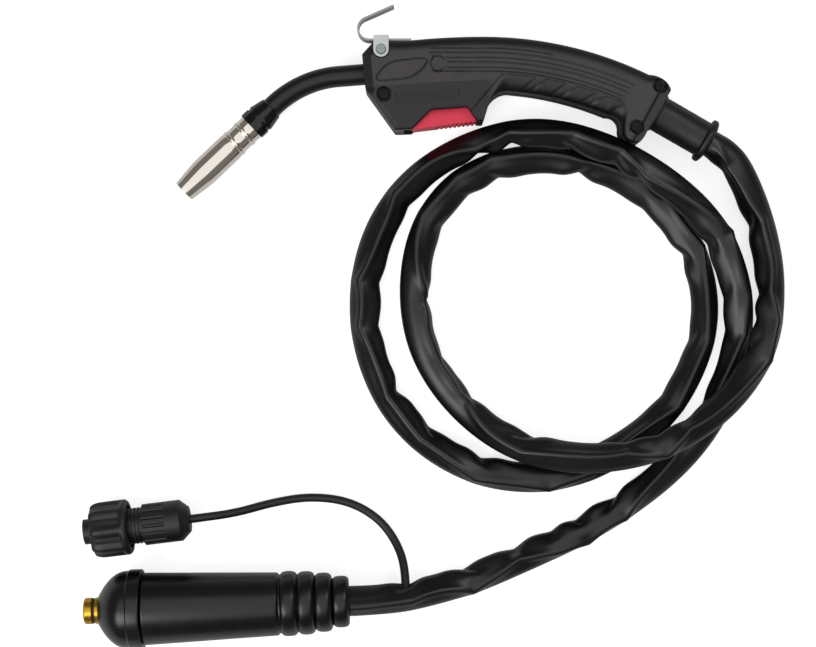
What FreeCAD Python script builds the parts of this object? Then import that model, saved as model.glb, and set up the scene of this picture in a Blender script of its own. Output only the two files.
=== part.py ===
import FreeCAD, Part
import math
import os
import re
import Sketcher

# A mig welding torch lying on its side: a curved two-shell handle with a red trigger and a hanging
# hook, a bent neck with its gas nozzle, a hose in loose loops, and a power plug and a control plug.
# Millimetres. Z is up from the side of the handle that lies down, X runs back along the handle from
# the nozzle to the hose, and the origin is on that side, where the curved grip begins.

SIZES = {
    # Handle: thickness from side to side, its shells and the grip that curves about a point below
    "handle_thickness": 33,
    "shell_wall": 2.4,
    "grip_curve_radius": 204,
    "grip_depth": 31,
    "grip_turn": 30,
    "grip_edge_round": 5,
    "head_length": 70.9,
    "head_top_front": 12.2,
    "head_top_rise": 1.3,
    "head_flat_length": 23.6,
    "nose_bevel_length": 6.4,
    "nose_bevel_drop": 7.1,
    "nose_foot": 15.2,
    "nose_lean": 2,
    "housing_front": 51.7,
    "housing_foot": 39.2,
    "housing_rear": 0.1,
    "housing_rear_foot": 33.6,
    "housing_throat": 3.2,
    "housing_throat_foot": 23,
    "throat_end_angle": 5,
    "throat_radius": 12,
    "rear_bump_angle": 26,
    "rear_bump_radius": 13,
    "lug_angle": 22.5,
    "lug_radius": 8.6,
    "lug_neck_radius": 7,
    "lug_turn": 15,
    "end_plate_foot": 4,
    "end_wall_angle": 0.7,
    "end_plate_top": 2,
    "head_top_radius": 418,
    # Screws through the two shells, and the hook's side screws
    "shell_screw_radius": 1.5,
    "shell_screw_head_radius": 3.1,
    "shell_screw_head_height": 2,
    "screw_recess_clearance": 0.3,
    "screw_recess_depth": 3,
    "screw_hole_clearance": 0.1,
    "screw_boss_radius": 4.6,
    "screw_bite": 10,
    "front_screw_x": 58.1,
    "front_screw_y": 18.4,
    "rear_screw_angle": 28.2,
    "rear_screw_inset": 3.6,
    "lug_screw_angle": 28,
    "screw_head_chamfer": 0.4,
    "screw_point_radius": 0.5,
    "screw_cross_length": 3,
    "screw_cross_width": 0.7,
    "screw_cross_depth": 0.8,
    "hook_screw_radius": 1.9,
    "hook_screw_head_radius": 3,
    "hook_screw_head_height": 1.5,
    "hook_screw_length": 9,
    "hook_screw_depth": 12,
    # Hook and the saddle that holds it over the handle
    "hook_pivot_x": 59.8,
    "hook_pivot_y": 7.8,
    "saddle_width": 8.8,
    "saddle_sheet": 0.8,
    "saddle_top": 16.1,
    "saddle_recess_depth": 2.8,
    "saddle_swing_room": 2.6,
    "saddle_room": 0.8,
    "saddle_backing_depth": 6,
    "saddle_slack": 0.25,
    "rib_front": 30,
    "rib_reach": 13.5,
    "saddle_turning_clearance": 0.1,
    "hook_strip_width": 12,
    "hook_strip_thickness": 1.2,
    "hook_tail": 17.6,
    "hook_fore": 7,
    "hook_bend_radius": 6.6,
    "hook_tip_angle": 23.6,
    "hook_tip_length": 18.5,
    # Trigger, its pin and its spring
    "trigger_front": 41.9,
    "trigger_front_foot": 38.8,
    "trigger_edge_x": 26.7,
    "trigger_edge_y": 36.5,
    "tooth_radius": 0.9,
    "trigger_slope_end": 30.8,
    "trigger_roof": 27.6,
    "trigger_roof_rise": 1.7,
    "trigger_rear": 9.8,
    "trigger_rear_foot": 3.4,
    "trigger_width": 20,
    "trigger_gap": 1.2,
    "trigger_side_gap": 0.6,
    "trigger_pivot_x": 47.5,
    "trigger_pivot_y": 27,
    "trigger_eye_radius": 3.6,
    "trigger_pin_radius": 1.5,
    "trigger_pin_clearance": 0.06,
    "pin_end_wall": 1.2,
    "trigger_post_x": 15,
    "trigger_post_width": 4,
    "trigger_spring_x": 32,
    "trigger_spring_radius": 2.2,
    "trigger_spring_wire": 0.6,
    "trigger_spring_turns": 4,
    "spring_seat_drop": 17,
    # Switch inside the handle
    "switch_length": 20,
    "switch_front": 26,
    "switch_drop": 19.5,
    "switch_pin_inset": 4,
    "switch_pin_radius": 1.1,
    "switch_post_radius": 2.4,
    "switch_height": 8.5,
    "switch_width": 7,
    "plunger_radius": 1.2,
    "plunger_reach": 2.6,
    "plunger_depth": 4,
    "plunger_clearance": 0.08,
    "plunger_gap": 0.3,
    "plunger_travel_room": 2.6,
    "switch_lead_radius": 0.8,
    "switch_lead_spacing": 4,
    "lead_offset": 6.4,
    "lead_rise": 3,
    "lead_run": 40,
    "cable_bend_radius": 98,
    # Neck
    "neck_mouth_y": 5.1,
    "neck_slope": 4.5,
    "neck_straight": 14,
    "neck_bend_radius": 62,
    "neck_bend": 39.1,
    "neck_tail": 2.1,
    "neck_in_collar": 7,
    "neck_in_handle": 24,
    "sheath_radius": 6.2,
    "sheath_wall": 2,
    "neck_tube_wall": 1.3,
    "neck_fit": 0.05,
    "neck_tube_reach": 6,
    "neck_tube_in_block": 9,
    "liner_radius": 2.2,
    "liner_bore_radius": 0.9,
    # Insulating collar between the neck and the nozzle
    "collar_length": 16.3,
    "collar_rear_radius": 7.05,
    "collar_front_radius": 8.9,
    "collar_rear_round": 0.6,
    "collar_groove_at": 9.5,
    "collar_groove_width": 1.6,
    "collar_groove_depth": 0.7,
    "collar_flat_depth": 0.35,
    "collar_flat_width": 2.2,
    "collar_flat_count": 10,
    "spigot_radius": 6,
    "spigot_length": 12,
    # Gas nozzle and its spring
    "nozzle_length": 55.1,
    "nozzle_radius": 8.45,
    "nozzle_tip_radius": 6.6,
    "nozzle_taper_length": 15,
    "nozzle_wall": 1.2,
    "nozzle_neck_radius": 7.8,
    "bead_radius": 8.2,
    "bead_width": 4.6,
    "first_bead_at": 5.7,
    "second_bead_at": 13.5,
    "nozzle_body_at": 16.2,
    "nozzle_bore_clearance": 0.35,
    "nozzle_spring_wire": 0.6,
    "nozzle_spring_turns": 4,
    "nozzle_spring_pitch": 1.5,
    # Tip holder and contact tip
    "holder_radius": 4.9,
    "holder_wall": 1.5,
    "holder_at": 9,
    "tip_inset": 3,
    "gas_hole_at": 33,
    "gas_hole_radius": 0.9,
    "gas_hole_count": 3,
    "tip_radius": 3.3,
    "tip_length": 20,
    "tip_nose_radius": 1.9,
    "tip_nose_length": 4,
    "tip_thread_radius": 2.6,
    "tip_thread_length": 5,
    "tip_wire_radius": 0.5,
    # Brass block and cable inside the handle
    "block_radius": 7.2,
    "block_length": 30,
    "cable_radius": 5.5,
    "cable_grip": 3,
    "crimp_length": 10,
    "crimp_wall": 1.2,
    # Black support tube at the back of the handle
    "support_length": 36.1,
    "support_radius": 9.4,
    "support_bore_radius": 7.9,
    "support_in_handle": 15,
    "support_ring_radius": 11.6,
    "support_ring_width": 1.6,
    "support_lock_radius": 11,
    "support_lock_at": 9,
    "support_lock_width": 2.4,
    "support_flange_radius": 13.4,
    "support_flange_width": 3,
    "support_fit": 0.05,
    "hose_seat_depth": 4,
    "hose_lead": 8,
    # Hose sleeve and the thin control cable
    "hose_radius": 8,
    "hose_fit": 0.2,
    "boot_lead": 14,
    "control_cable_radius": 2.5,
    # Power plug: rubber boot, hard nose and brass pin
    "boot_end_x": 78.5,
    "boot_end_y": 313.8,
    "plug_yaw": 2.15,
    "boot_ring_width": 10.1,
    "boot_first_ring_radius": 15,
    "boot_second_ring_radius": 17.2,
    "boot_third_ring_radius": 18.4,
    "boot_fourth_ring_radius": 18.9,
    "boot_groove_depth": 1.6,
    "boot_groove_width": 1.2,
    "boot_body_length": 80,
    "boot_seat_depth": 12,
    "boot_rear_radius": 18.2,
    "boot_front_radius": 21.1,
    "nose_ring_radius": 23.2,
    "nose_ring_width": 14.6,
    "nose_cone_length": 11,
    "nose_tip_radius": 9,
    "pin_radius": 7.7,
    "pin_reach": 8.6,
    "pin_groove_at": 2,
    "pin_seal_width": 1.8,
    "pin_seal_inset": 0.45,
    "pin_chamfer": 0.8,
    "pin_shoulder_radius": 10,
    "pin_shoulder_width": 5,
    "pin_bore_radius": 1.6,
    "pin_groove_depth": 1,
    "pin_groove_width": 2,
    "pin_tail_radius": 6,
    "pin_tail_length": 12,
    "socket_radius": 12,
    "socket_at": 90.4,
    "socket_reach": 44,
    "socket_bore_radius": 5.6,
    "socket_bore_depth": 28,
    "set_screw_radius": 2.5,
    "set_screw_spacing": 12,
    "set_screw_inset": 8,
    "set_screw_sunk": 0.5,
    # Control plug: body, lobed coupling ring, insert, pins, gland nut and seal
    "control_end_x": 172.4,
    "control_end_y": 266.5,
    "control_yaw": 7.06,
    "gland_length": 27,
    "gland_radius": 12.1,
    "gland_dome_length": 5.2,
    "gland_mouth_radius": 3.2,
    "gland_lip": 4.3,
    "gland_mouth_depth": 2.6,
    "gland_flute_radius": 1.2,
    "gland_flute_length": 13,
    "gland_flute_count": 16,
    "body_ring_pitch": 2.2,
    "body_ring_depth": 0.8,
    "body_thread_radius": 9.6,
    "body_radius": 10.6,
    "body_bore_radius": 5.2,
    "flange_at": 44,
    "flange_radius": 12.5,
    "flange_width": 2.4,
    "barrel_radius": 7.4,
    "barrel_waist": 0.4,
    "barrel_lip": 3.6,
    "control_length": 62.4,
    "coupling_at": 35.4,
    "coupling_length": 23,
    "coupling_radius": 16.4,
    "coupling_lobe_count": 8,
    "coupling_notch_radius": 3.4,
    "coupling_notch_depth": 1.6,
    "coupling_clearance": 0.3,
    "insert_at": 40,
    "insert_radius": 6.1,
    "insert_length": 19,
    "contact_radius": 0.8,
    "contact_circle_radius": 4,
    "contact_tail": 4,
    "contact_reach": 2.5,
    "seal_length": 12,
    "seal_fit": 0.05,
}

# Sizes that follow from the ones above.
RULES = {
    "half": "handle_thickness / 2",
    "grip_top_radius": "grip_curve_radius + grip_depth / 2",
    "grip_foot_radius": "grip_curve_radius - grip_depth / 2",
    "head_top_rear": "head_top_front + head_top_rise",
    "head_flat_end": "head_length - nose_bevel_length - head_flat_length",
    "rear_screw_x": "(grip_top_radius - rear_screw_inset) * sin(rear_screw_angle)",
    "rear_screw_y": "(grip_top_radius - rear_screw_inset) * cos(rear_screw_angle) - grip_curve_radius",
    "lug_screw_x": "grip_foot_radius * sin(lug_screw_angle)",
    "lug_screw_y": "grip_foot_radius * cos(lug_screw_angle) - grip_curve_radius",
    "trigger_back": "trigger_pivot_y - trigger_eye_radius",
    "spring_seat_y": "0 - spring_seat_drop",
    "switch_x": "0 - switch_front",
    "switch_y": "0 - switch_drop",
    "trigger_post_top": "switch_y - plunger_reach - plunger_gap",
    "support_x": "grip_curve_radius * sin(grip_turn)",
    "support_y": "grip_curve_radius * cos(grip_turn) - grip_curve_radius",
    "strip_top": "saddle_top - saddle_sheet",
    "strip_foot": "strip_top - hook_strip_thickness",
    "tube_radius": "sheath_radius - sheath_wall - neck_fit",
    "tube_bore_radius": "tube_radius - neck_tube_wall",
    "nozzle_mean_spring": "spigot_radius + nozzle_spring_wire / 2",
    "nozzle_bore": "spigot_radius + nozzle_spring_wire + nozzle_bore_clearance",
    "holder_end": "collar_length + nozzle_length - tip_inset - tip_length",
    "nozzle_yaw": "180 + neck_slope + neck_bend",
    "bend_end_x": "neck_straight + neck_bend_radius * sin(neck_bend) + neck_tail * cos(neck_bend)",
    "bend_end_y": "neck_bend_radius * (1 - cos(neck_bend)) + neck_tail * sin(neck_bend)",
    "nozzle_x": "0 - head_length - bend_end_x * cos(neck_slope) + bend_end_y * sin(neck_slope)",
    "nozzle_y": "0 - neck_mouth_y - bend_end_x * sin(neck_slope) - bend_end_y * cos(neck_slope)",
    "bellows_length": "4 * boot_ring_width",
    "boot_length": "bellows_length + boot_body_length",
    "pin_shoulder_at": "socket_at + socket_reach",
    "plug_length": "boot_length + nose_ring_width + nose_cone_length",
}

TOOTH_COUNT = 9
SET_SCREW_COUNT = 2
BODY_RING_COUNT = 4
CONTACT_COUNT = 5
ROUNDED_LINE_COUNT = 3

document = FreeCAD.newDocument("mig_torch")
sheet = document.addObject("Spreadsheet::Sheet", "Sizes")
for row, (name, number) in enumerate(SIZES.items(), 1):
    sheet.set(f"A{row}", name)
    sheet.set(f"B{row}", str(number))
    sheet.setAlias(f"B{row}", name)
document.recompute()

PARTS = {}


def full(text):
    """Write out an expression of named sizes with the sheet's own cells."""
    def one(word):
        name = word.group()
        if name in RULES:
            return "(" + full(RULES[name]) + ")"
        return "Sizes." + name if name in SIZES else name
    return re.sub(r"[a-z][a-z_]+", one, str(text))


def size(text):
    """The number that an expression of named sizes comes to."""
    return float(sheet.evalExpression(full(text)))


def bind(thing, prop, text):
    """Tie one property of an object to an expression of named sizes."""
    thing.setExpression(prop, full(text))


def place(thing, where):
    """Put an object at x, y, z and turn it by yaw degrees about Z; all four are expressions."""
    x, y, z, yaw = (full(text) for text in where)
    turn = f"rotation(vector(0; 0; 1); {yaw})"
    thing.setExpression("Placement", f"placement(vector({x}; {y}; {z}); {turn})")
    return thing


HANDLE = ("0", "0", "0", "0")
INWARD = ("0 - head_length", "0 - neck_mouth_y", "half", "neck_slope")
NOZZLE = ("nozzle_x", "nozzle_y", "half", "nozzle_yaw")
SUPPORT = ("support_x", "support_y", "half", "0 - grip_turn")
PLUG = ("0 - boot_end_x", "0 - boot_end_y", "nose_ring_radius", "180 + plug_yaw")
CONTROL = ("0 - control_end_x", "0 - control_end_y", "coupling_radius", "180 + control_yaw")


def along(frame, distance):
    """The same frame, moved by a distance along its own X axis."""
    x, y, z, yaw = frame
    return (f"{x} + ({distance}) * cos({yaw})", f"{y} + ({distance}) * sin({yaw})", z, yaw)


def origin_plane(body, role):
    return next(one for one in body.Origin.OriginFeatures if one.Role == role)


def new_sketch(body, role, label):
    """A sketch on one of the body's own planes, or a free one in XY where body is None."""
    if body is None:
        return document.addObject("Sketcher::SketchObject", label)
    sketch = body.newObject("Sketcher::SketchObject", label)
    sketch.AttachmentSupport = [(origin_plane(body, role), "")]
    sketch.MapMode = "FlatFace"
    return sketch


def fix_point(sketch, edge, end, x, y):
    """Hold one end of an edge at x, y, where both are expressions of named sizes."""
    for kind, text, axis in (("DistanceX", x, -2), ("DistanceY", y, -1)):
        number = size(text)
        if text == "0":
            sketch.addConstraint(Sketcher.Constraint("PointOnObject", edge, end, axis))
            continue
        index = sketch.addConstraint(Sketcher.Constraint(kind, -1, 1, edge, end, number))
        sketch.setExpression(f"Constraints[{index}]", full(text))


def draw(sketch, corners):
    """
    A closed outline. A corner is (x, y), or (x, y, radius) where the edge to the next corner is an
    arc of that radius, and (x, y, radius, -1) where that arc turns clockwise.
    """
    spots = [(size(corner[0]), size(corner[1])) for corner in corners]
    count = len(corners)
    first = sketch.GeometryCount
    starts, ends = [], []
    for index, corner in enumerate(corners):
        ax, ay = spots[index]
        bx, by = spots[(index + 1) % count]
        if len(corner) == 2:
            edge = Part.LineSegment(FreeCAD.Vector(ax, ay, 0), FreeCAD.Vector(bx, by, 0))
            start, end = 1, 2
        else:
            turn = corner[3] if len(corner) == 4 else 1
            radius = size(corner[2])
            chord = math.hypot(bx - ax, by - ay)
            rise = math.sqrt(max(radius ** 2 - chord ** 2 / 4, 0)) / chord * turn
            centre = FreeCAD.Vector((ax + bx) / 2 - (by - ay) * rise, (ay + by) / 2 + (bx - ax) * rise, 0)
            low, high = (spots[index], spots[(index + 1) % count])[::turn]
            circle = Part.Circle(centre, FreeCAD.Vector(0, 0, 1), radius)
            edge = Part.ArcOfCircle(circle, math.atan2(low[1] - centre.y, low[0] - centre.x),
                                    math.atan2(high[1] - centre.y, high[0] - centre.x))
            start, end = (1, 2)[::turn]
        sketch.addGeometry(edge)
        starts.append(start)
        ends.append(end)
    for index in range(count):
        after = (index + 1) % count
        sketch.addConstraint(Sketcher.Constraint("Coincident", first + index, ends[index],
                                                 first + after, starts[after]))
    for index, corner in enumerate(corners):
        fix_point(sketch, first + index, starts[index], corner[0], corner[1])
        if len(corner) > 2:
            held = sketch.addConstraint(Sketcher.Constraint("Radius", first + index, size(corner[2])))
            sketch.setExpression(f"Constraints[{held}]", full(corner[2]))


def draw_circle(sketch, x, y, radius):
    """A circle with its centre at x, y."""
    spot = FreeCAD.Vector(size(x), size(y), 0)
    index = sketch.addGeometry(Part.Circle(spot, FreeCAD.Vector(0, 0, 1), size(radius)))
    fix_point(sketch, index, 3, x, y)
    held = sketch.addConstraint(Sketcher.Constraint("Radius", index, size(radius)))
    sketch.setExpression(f"Constraints[{held}]", full(radius))


def new_body(label, frame):
    body = document.addObject("PartDesign::Body", label)
    place(body, frame)
    PARTS[label] = body
    return body


def turned(label, profile, frame):
    """A turned piece: a closed profile of (distance along the axis, radius), round the frame's X axis."""
    body = new_body(label, frame)
    sketch = new_sketch(body, "XY_Plane", label + "_profile")
    draw(sketch, profile)
    lathe = body.newObject("PartDesign::Revolution", label + "_turned")
    lathe.Profile = sketch
    lathe.ReferenceAxis = (sketch, ["H_Axis"])
    lathe.Angle = 360
    return body


def ring_profile(start, end, outer, inner):
    """The profile of a plain tube from start to end."""
    return [(start, inner), (start, outer), (end, outer), (end, inner)]


def sheet_metal(label, outline, low, high, frame):
    """A piece with one outline, padded from height low to height high of its frame."""
    x, y, z, yaw = frame
    body = new_body(label, (x, y, f"{z} + {low}", yaw))
    sketch = new_sketch(body, "XY_Plane", label + "_outline")
    draw(sketch, outline)
    pad = body.newObject("PartDesign::Pad", label + "_pad")
    pad.Profile = sketch
    bind(pad, "Length", f"({high}) - ({low})")
    return body


def cut_through(body, sketch, label):
    """Cut a sketch through the whole body, both ways."""
    document.recompute()
    before = body.Shape.Volume
    pocket = body.newObject("PartDesign::Pocket", label)
    pocket.Profile = sketch
    pocket.Type = "ThroughAll"
    pocket.Midplane = True
    document.recompute()
    assert body.Shape.Volume < before - 0.01, label + " cuts nothing"
    return pocket


def repeat(body, feature, count, label):
    """Repeat a cut evenly round the body's X axis."""
    pattern = body.newObject("PartDesign::PolarPattern", label)
    pattern.Originals = [feature]
    pattern.Axis = (origin_plane(body, "X_Axis"), [""])
    pattern.Angle = 360
    bind(pattern, "Occurrences", count)
    body.Tip = pattern
    return pattern


def loose(label, shape):
    """A piece whose shape is worked out in code."""
    piece = document.addObject("Part::Feature", label)
    piece.Shape = shape
    PARTS[label] = piece
    return piece


def copies(label, source, places):
    """Equal pieces in one group, each a copy of one body at a place."""
    document.recompute()
    del PARTS[source.Label]
    solids = []
    for spot in places:
        solid = source.Shape.Solids[0].copy()
        solid.Placement = spot.multiply(source.Placement.inverse().multiply(solid.Placement))
        solids.append(solid)
    return loose(label, Part.makeCompound(solids))


def tool(kind, label, frame, **numbers):
    """A plain solid that shapes other pieces."""
    thing = document.addObject(kind, label)
    for prop, text in numbers.items():
        bind(thing, prop, text)
    return place(thing, frame)


def joined(label, pieces):
    thing = document.addObject("Part::MultiFuse", label)
    thing.Shapes = pieces
    return thing


def difference(label, base, cutter):
    thing = document.addObject("Part::Cut", label)
    thing.Base = base
    thing.Tool = cutter
    return thing


def upright(label, sketch, low, high):
    """A solid with a free outline between two heights."""
    pad = document.addObject("Part::Extrusion", label)
    pad.Base = sketch
    pad.DirMode = "Custom"
    pad.Dir = FreeCAD.Vector(0, 0, 1)
    pad.Solid = True
    bind(pad, "LengthFwd", f"({high}) - ({low})")
    bind(pad, "Placement.Base.z", low)
    return pad


def block(label, corners, low, high):
    """A solid with straight sides between two heights, for shaping the shells."""
    sketch = new_sketch(None, None, label + "_outline")
    draw(sketch, corners)
    return upright(label, sketch, low, high)


def post(label, x, y, low, high, radius):
    """An upright round solid between two heights, for shaping the shells."""
    return tool("Part::Cylinder", label, (x, y, low, "0"), Radius=radius, Height=f"({high}) - ({low})")


def rod(label, frame, start, end, radius):
    """A round solid lying along a frame's X axis, for shaping the shells."""
    thing = document.addObject("Part::Cylinder", label)
    bind(thing, "Radius", radius)
    bind(thing, "Height", f"({end}) - ({start})")
    x, y, z, yaw = (full(text) for text in along(frame, start))
    turn = f"rotation(vector(0; 0; 1); {yaw}) * rotation(vector(0; 1; 0); 90)"
    thing.setExpression("Placement", f"placement(vector({x}; {y}; {z}); {turn})")
    return thing


# Handle form: the outline of both shells together, seen from above


def on_grip(radius, angle):
    """A point on a circle about the grip's centre of curvature, angle degrees back from the origin."""
    return f"({radius}) * sin({angle})", f"({radius}) * cos({angle}) - grip_curve_radius"


def handle_outline():
    """The outline: round the nose, the housing, the grip's foot, the lug and back along the grip's top."""
    return [
        ("nose_bevel_length - head_length", "head_top_front"),
        ("0 - head_length", "head_top_front - nose_bevel_drop"),
        ("nose_lean - head_length", "0 - nose_foot"),
        ("0 - housing_front", "0 - housing_foot"),
        ("0 - trigger_front", "0 - trigger_front_foot"),
        ("0 - trigger_slope_end", "0 - trigger_roof"),
        ("0 - trigger_rear", "trigger_roof_rise - trigger_roof"),
        ("0 - trigger_rear_foot", "0 - housing_rear_foot"),
        ("0 - housing_rear", "0 - housing_rear_foot"),
        ("housing_throat", "0 - housing_throat_foot", "throat_radius", -1),
        (*on_grip("grip_foot_radius", "throat_end_angle"), "grip_foot_radius", -1),
        (*on_grip("grip_foot_radius", "lug_angle"), "lug_neck_radius", -1),
        ("lug_screw_x - lug_radius", "lug_screw_y", "lug_radius"),
        ("lug_screw_x + lug_radius * sin(lug_turn)", "lug_screw_y - lug_radius * cos(lug_turn)"),
        on_grip("grip_foot_radius - end_plate_foot", "grip_turn"),
        (*on_grip("grip_top_radius - end_plate_top", "grip_turn"), "rear_bump_radius"),
        (*on_grip("grip_top_radius", "rear_bump_angle"), "grip_top_radius"),
        ("0", "grip_depth / 2", "head_top_radius"),
        ("0 - head_flat_end", "head_top_rear"),
    ]


outline = new_sketch(None, None, "handle_outline")
draw(outline, handle_outline())
plain_form = upright("handle_plain_form", outline, "0", "handle_thickness")
document.recompute()

# The long curved edges along the top of the handle are rounded on both sides
round_edges = []
for index, edge in enumerate(plain_form.Shape.Edges, 1):
    middle = edge.valueAt((edge.FirstParameter + edge.LastParameter) / 2)
    for curve in outline.Geometry[-ROUNDED_LINE_COUNT:]:
        spot = curve.value((curve.FirstParameter + curve.LastParameter) / 2)
        if math.hypot(middle.x - spot.x, middle.y - spot.y) < 0.01:
            if abs(edge.Vertexes[0].Z - edge.Vertexes[-1].Z) < 0.01:
                round_edges.append((index, size("grip_edge_round"), size("grip_edge_round")))
form = document.addObject("Part::Fillet", "handle_form")
form.Base = plain_form
form.Edges = round_edges

# The room inside follows the outline one wall further in; the lip behind the trigger and the lug are solid
ROOM_END = "grip_turn - end_wall_angle"
room = block("handle_room", [
    ("0 - head_flat_end", "head_top_rear - shell_wall"),
    ("nose_bevel_length - head_length + shell_wall / 2", "head_top_front - shell_wall"),
    ("shell_wall - head_length", "head_top_front - nose_bevel_drop - shell_wall / 2"),
    ("nose_lean - head_length + 1.2 * shell_wall", "shell_wall / 4 - nose_foot"),
    ("shell_wall / 2 - housing_front", "shell_wall - housing_foot"),
    ("0 - trigger_front - shell_wall / 2", "shell_wall - trigger_front_foot"),
    ("0 - trigger_slope_end - shell_wall / 2", "shell_wall - trigger_roof"),
    ("0 - trigger_rear", "trigger_roof_rise - trigger_roof + shell_wall"),
    ("housing_throat", "3 * shell_wall - housing_throat_foot"),
    (*on_grip("grip_foot_radius + shell_wall", "throat_end_angle"), "grip_foot_radius + shell_wall", -1),
    on_grip("grip_foot_radius + shell_wall", ROOM_END),
    (*on_grip("grip_top_radius - shell_wall", ROOM_END), "grip_top_radius - shell_wall"),
    ("0", "grip_depth / 2 - shell_wall"),
], "shell_wall", "handle_thickness - shell_wall")
hollow = difference("handle_hollow", form, room)

# Bosses and seats inside, clipped to the handle's form
PIVOT = ("0 - hook_pivot_x", "hook_pivot_y")
TRIGGER_PIVOT = ("0 - trigger_pivot_x", "0 - trigger_pivot_y")
SHELL_SCREWS = {
    "front": ("0 - front_screw_x", "0 - front_screw_y"),
    "rear": ("rear_screw_x", "rear_screw_y"),
    "lug": ("lug_screw_x", "lug_screw_y"),
}
saddle_half = "(saddle_width / 2 + saddle_room)"
saddle_slot = [
    (f"0 - hook_pivot_x - {saddle_half}", "hook_pivot_y"),
    (f"0 - hook_pivot_x + {saddle_half}", "hook_pivot_y"),
    (f"0 - hook_pivot_x + {saddle_half}", "saddle_top + 1"),
    (f"0 - hook_pivot_x - {saddle_half} - saddle_swing_room", "saddle_top + 1"),
]
saddle_backing = [
    ("1 - head_length", "0"),
    (f"3 - hook_pivot_x + {saddle_half}", "0"),
    (f"3 - hook_pivot_x + {saddle_half}", "saddle_top"),
    ("1 - head_length", "saddle_top"),
]
seats = [post(f"{name}_screw_boss", x, y, "0", "handle_thickness", "screw_boss_radius")
         for name, (x, y) in SHELL_SCREWS.items()]
seats.append(post("trigger_pin_boss", *TRIGGER_PIVOT, "0", "handle_thickness", "trigger_eye_radius + 1"))
seats.append(rod("neck_seat", INWARD, "shell_wall / 2", "neck_in_handle", "sheath_radius + shell_wall"))
block_rib = [
    ("rib_front - head_length", "0 - rib_reach"),
    ("rib_front + 2 * shell_wall - head_length", "0 - rib_reach"),
    ("rib_front + 2 * shell_wall - head_length", "grip_depth"),
    ("rib_front - head_length", "grip_depth"),
]
seats.append(block("block_rib", block_rib, "0", "handle_thickness"))
seats.append(rod("support_seat", SUPPORT, "0 - support_in_handle", "0", "support_lock_radius + shell_wall"))
for side, low, high in (("lower", "0", "saddle_backing_depth"),
                        ("upper", "handle_thickness - saddle_backing_depth", "handle_thickness")):
    seats.append(block(f"saddle_backing_{side}", saddle_backing, low, high))
for side, low, high in (("lower", "0", "hook_screw_depth"),
                        ("upper", "handle_thickness - hook_screw_depth", "handle_thickness")):
    seats.append(post(f"hook_screw_boss_{side}", *PIVOT, low, high, "hook_screw_radius + shell_wall"))
spring_rib = [
    ("0 - trigger_spring_x - trigger_spring_radius - 1", "spring_seat_y"),
    ("trigger_spring_radius + 1 - trigger_spring_x", "spring_seat_y"),
    ("trigger_spring_radius + 1 - trigger_spring_x", "spring_seat_y + shell_wall"),
    ("0 - trigger_spring_x - trigger_spring_radius - 1", "spring_seat_y + shell_wall"),
]
seats.append(block("spring_rib", spring_rib, "0", "handle_thickness"))
SWITCH_PINS = [(f"switch_x + switch_pin_inset", "switch_y + switch_height / 2"),
               (f"switch_x + switch_length - switch_pin_inset", "switch_y + switch_height / 2")]
for number, (x, y) in enumerate(SWITCH_PINS):
    seats.append(post(f"switch_post_lower_{number}", x, y, "0", "half - switch_width / 2",
                      "switch_post_radius"))
    seats.append(post(f"switch_post_upper_{number}", x, y, "half + switch_width / 2", "handle_thickness",
                      "switch_post_radius"))
    seats.append(post(f"switch_pin_lower_{number}", x, y, "0", "half", "switch_pin_radius"))
clipped_seats = document.addObject("Part::Common", "handle_seats")
clipped_seats.Base = form
clipped_seats.Tool = joined("handle_seats_plain", seats)
whole = joined("handle_whole", [hollow, clipped_seats])

# Everything that is cut out of the two shells: bores, screw holes, recesses and the trigger's slot
trigger_slot = [
    ("trigger_gap / 3 - trigger_front", "0 - housing_foot - 1"),
    ("0 - trigger_pivot_x - trigger_eye_radius", "0 - trigger_pivot_y - trigger_eye_radius - 1"),
    ("0 - trigger_pivot_x - trigger_eye_radius", "trigger_eye_radius + 1 - trigger_pivot_y"),
    ("0 - trigger_rear_foot + trigger_gap", "trigger_eye_radius + 1 - trigger_pivot_y"),
    ("0 - trigger_rear_foot + trigger_gap", "0 - housing_foot - 1"),
]
slot_half = "trigger_width / 2 + trigger_side_gap"
cuts = [
    rod("neck_bore", INWARD, "0 - 1", "neck_in_handle", "sheath_radius + neck_fit"),
    rod("neck_tube_way", INWARD, "neck_in_handle - 1", "neck_in_handle + 1", "tube_radius + 1"),
    rod("block_bore", INWARD, "neck_in_handle", "neck_in_handle + block_length", "block_radius + neck_fit"),
    rod("support_bore", SUPPORT, "0 - support_in_handle - 1", "1", "support_radius + support_fit"),
    rod("support_groove", SUPPORT, "0 - support_lock_at - support_lock_width - support_fit",
        "support_fit - support_lock_at", "support_lock_radius + support_fit"),
    block("trigger_slot", trigger_slot, f"half - ({slot_half})", f"half + {slot_half}"),
    post("trigger_pin_bore", *TRIGGER_PIVOT, "pin_end_wall", "handle_thickness - pin_end_wall",
         "trigger_pin_radius"),
]
for name, (x, y) in SHELL_SCREWS.items():
    cuts.append(post(f"{name}_screw_recess", x, y, "handle_thickness - screw_recess_depth",
                     "handle_thickness + 1", "shell_screw_head_radius + screw_recess_clearance"))
    cuts.append(post(f"{name}_screw_hole", x, y, "half - screw_bite - 1", "handle_thickness",
                     "shell_screw_radius + screw_hole_clearance"))
for side, low, high in (("lower", "0 - 1", "saddle_recess_depth"),
                        ("upper", "handle_thickness - saddle_recess_depth", "handle_thickness + 1")):
    cuts.append(block(f"saddle_recess_{side}", saddle_slot, low, high))
    cuts.append(post(f"saddle_recess_round_{side}", *PIVOT, low, high, saddle_half))
for side, low, high in (("lower", "0", "hook_screw_depth"),
                        ("upper", "handle_thickness - hook_screw_depth", "handle_thickness")):
    cuts.append(post(f"hook_screw_hole_{side}", *PIVOT, low, high,
                     "hook_screw_radius + screw_hole_clearance"))
shaped = difference("handle_shaped", whole, joined("handle_cuts", cuts))

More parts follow.
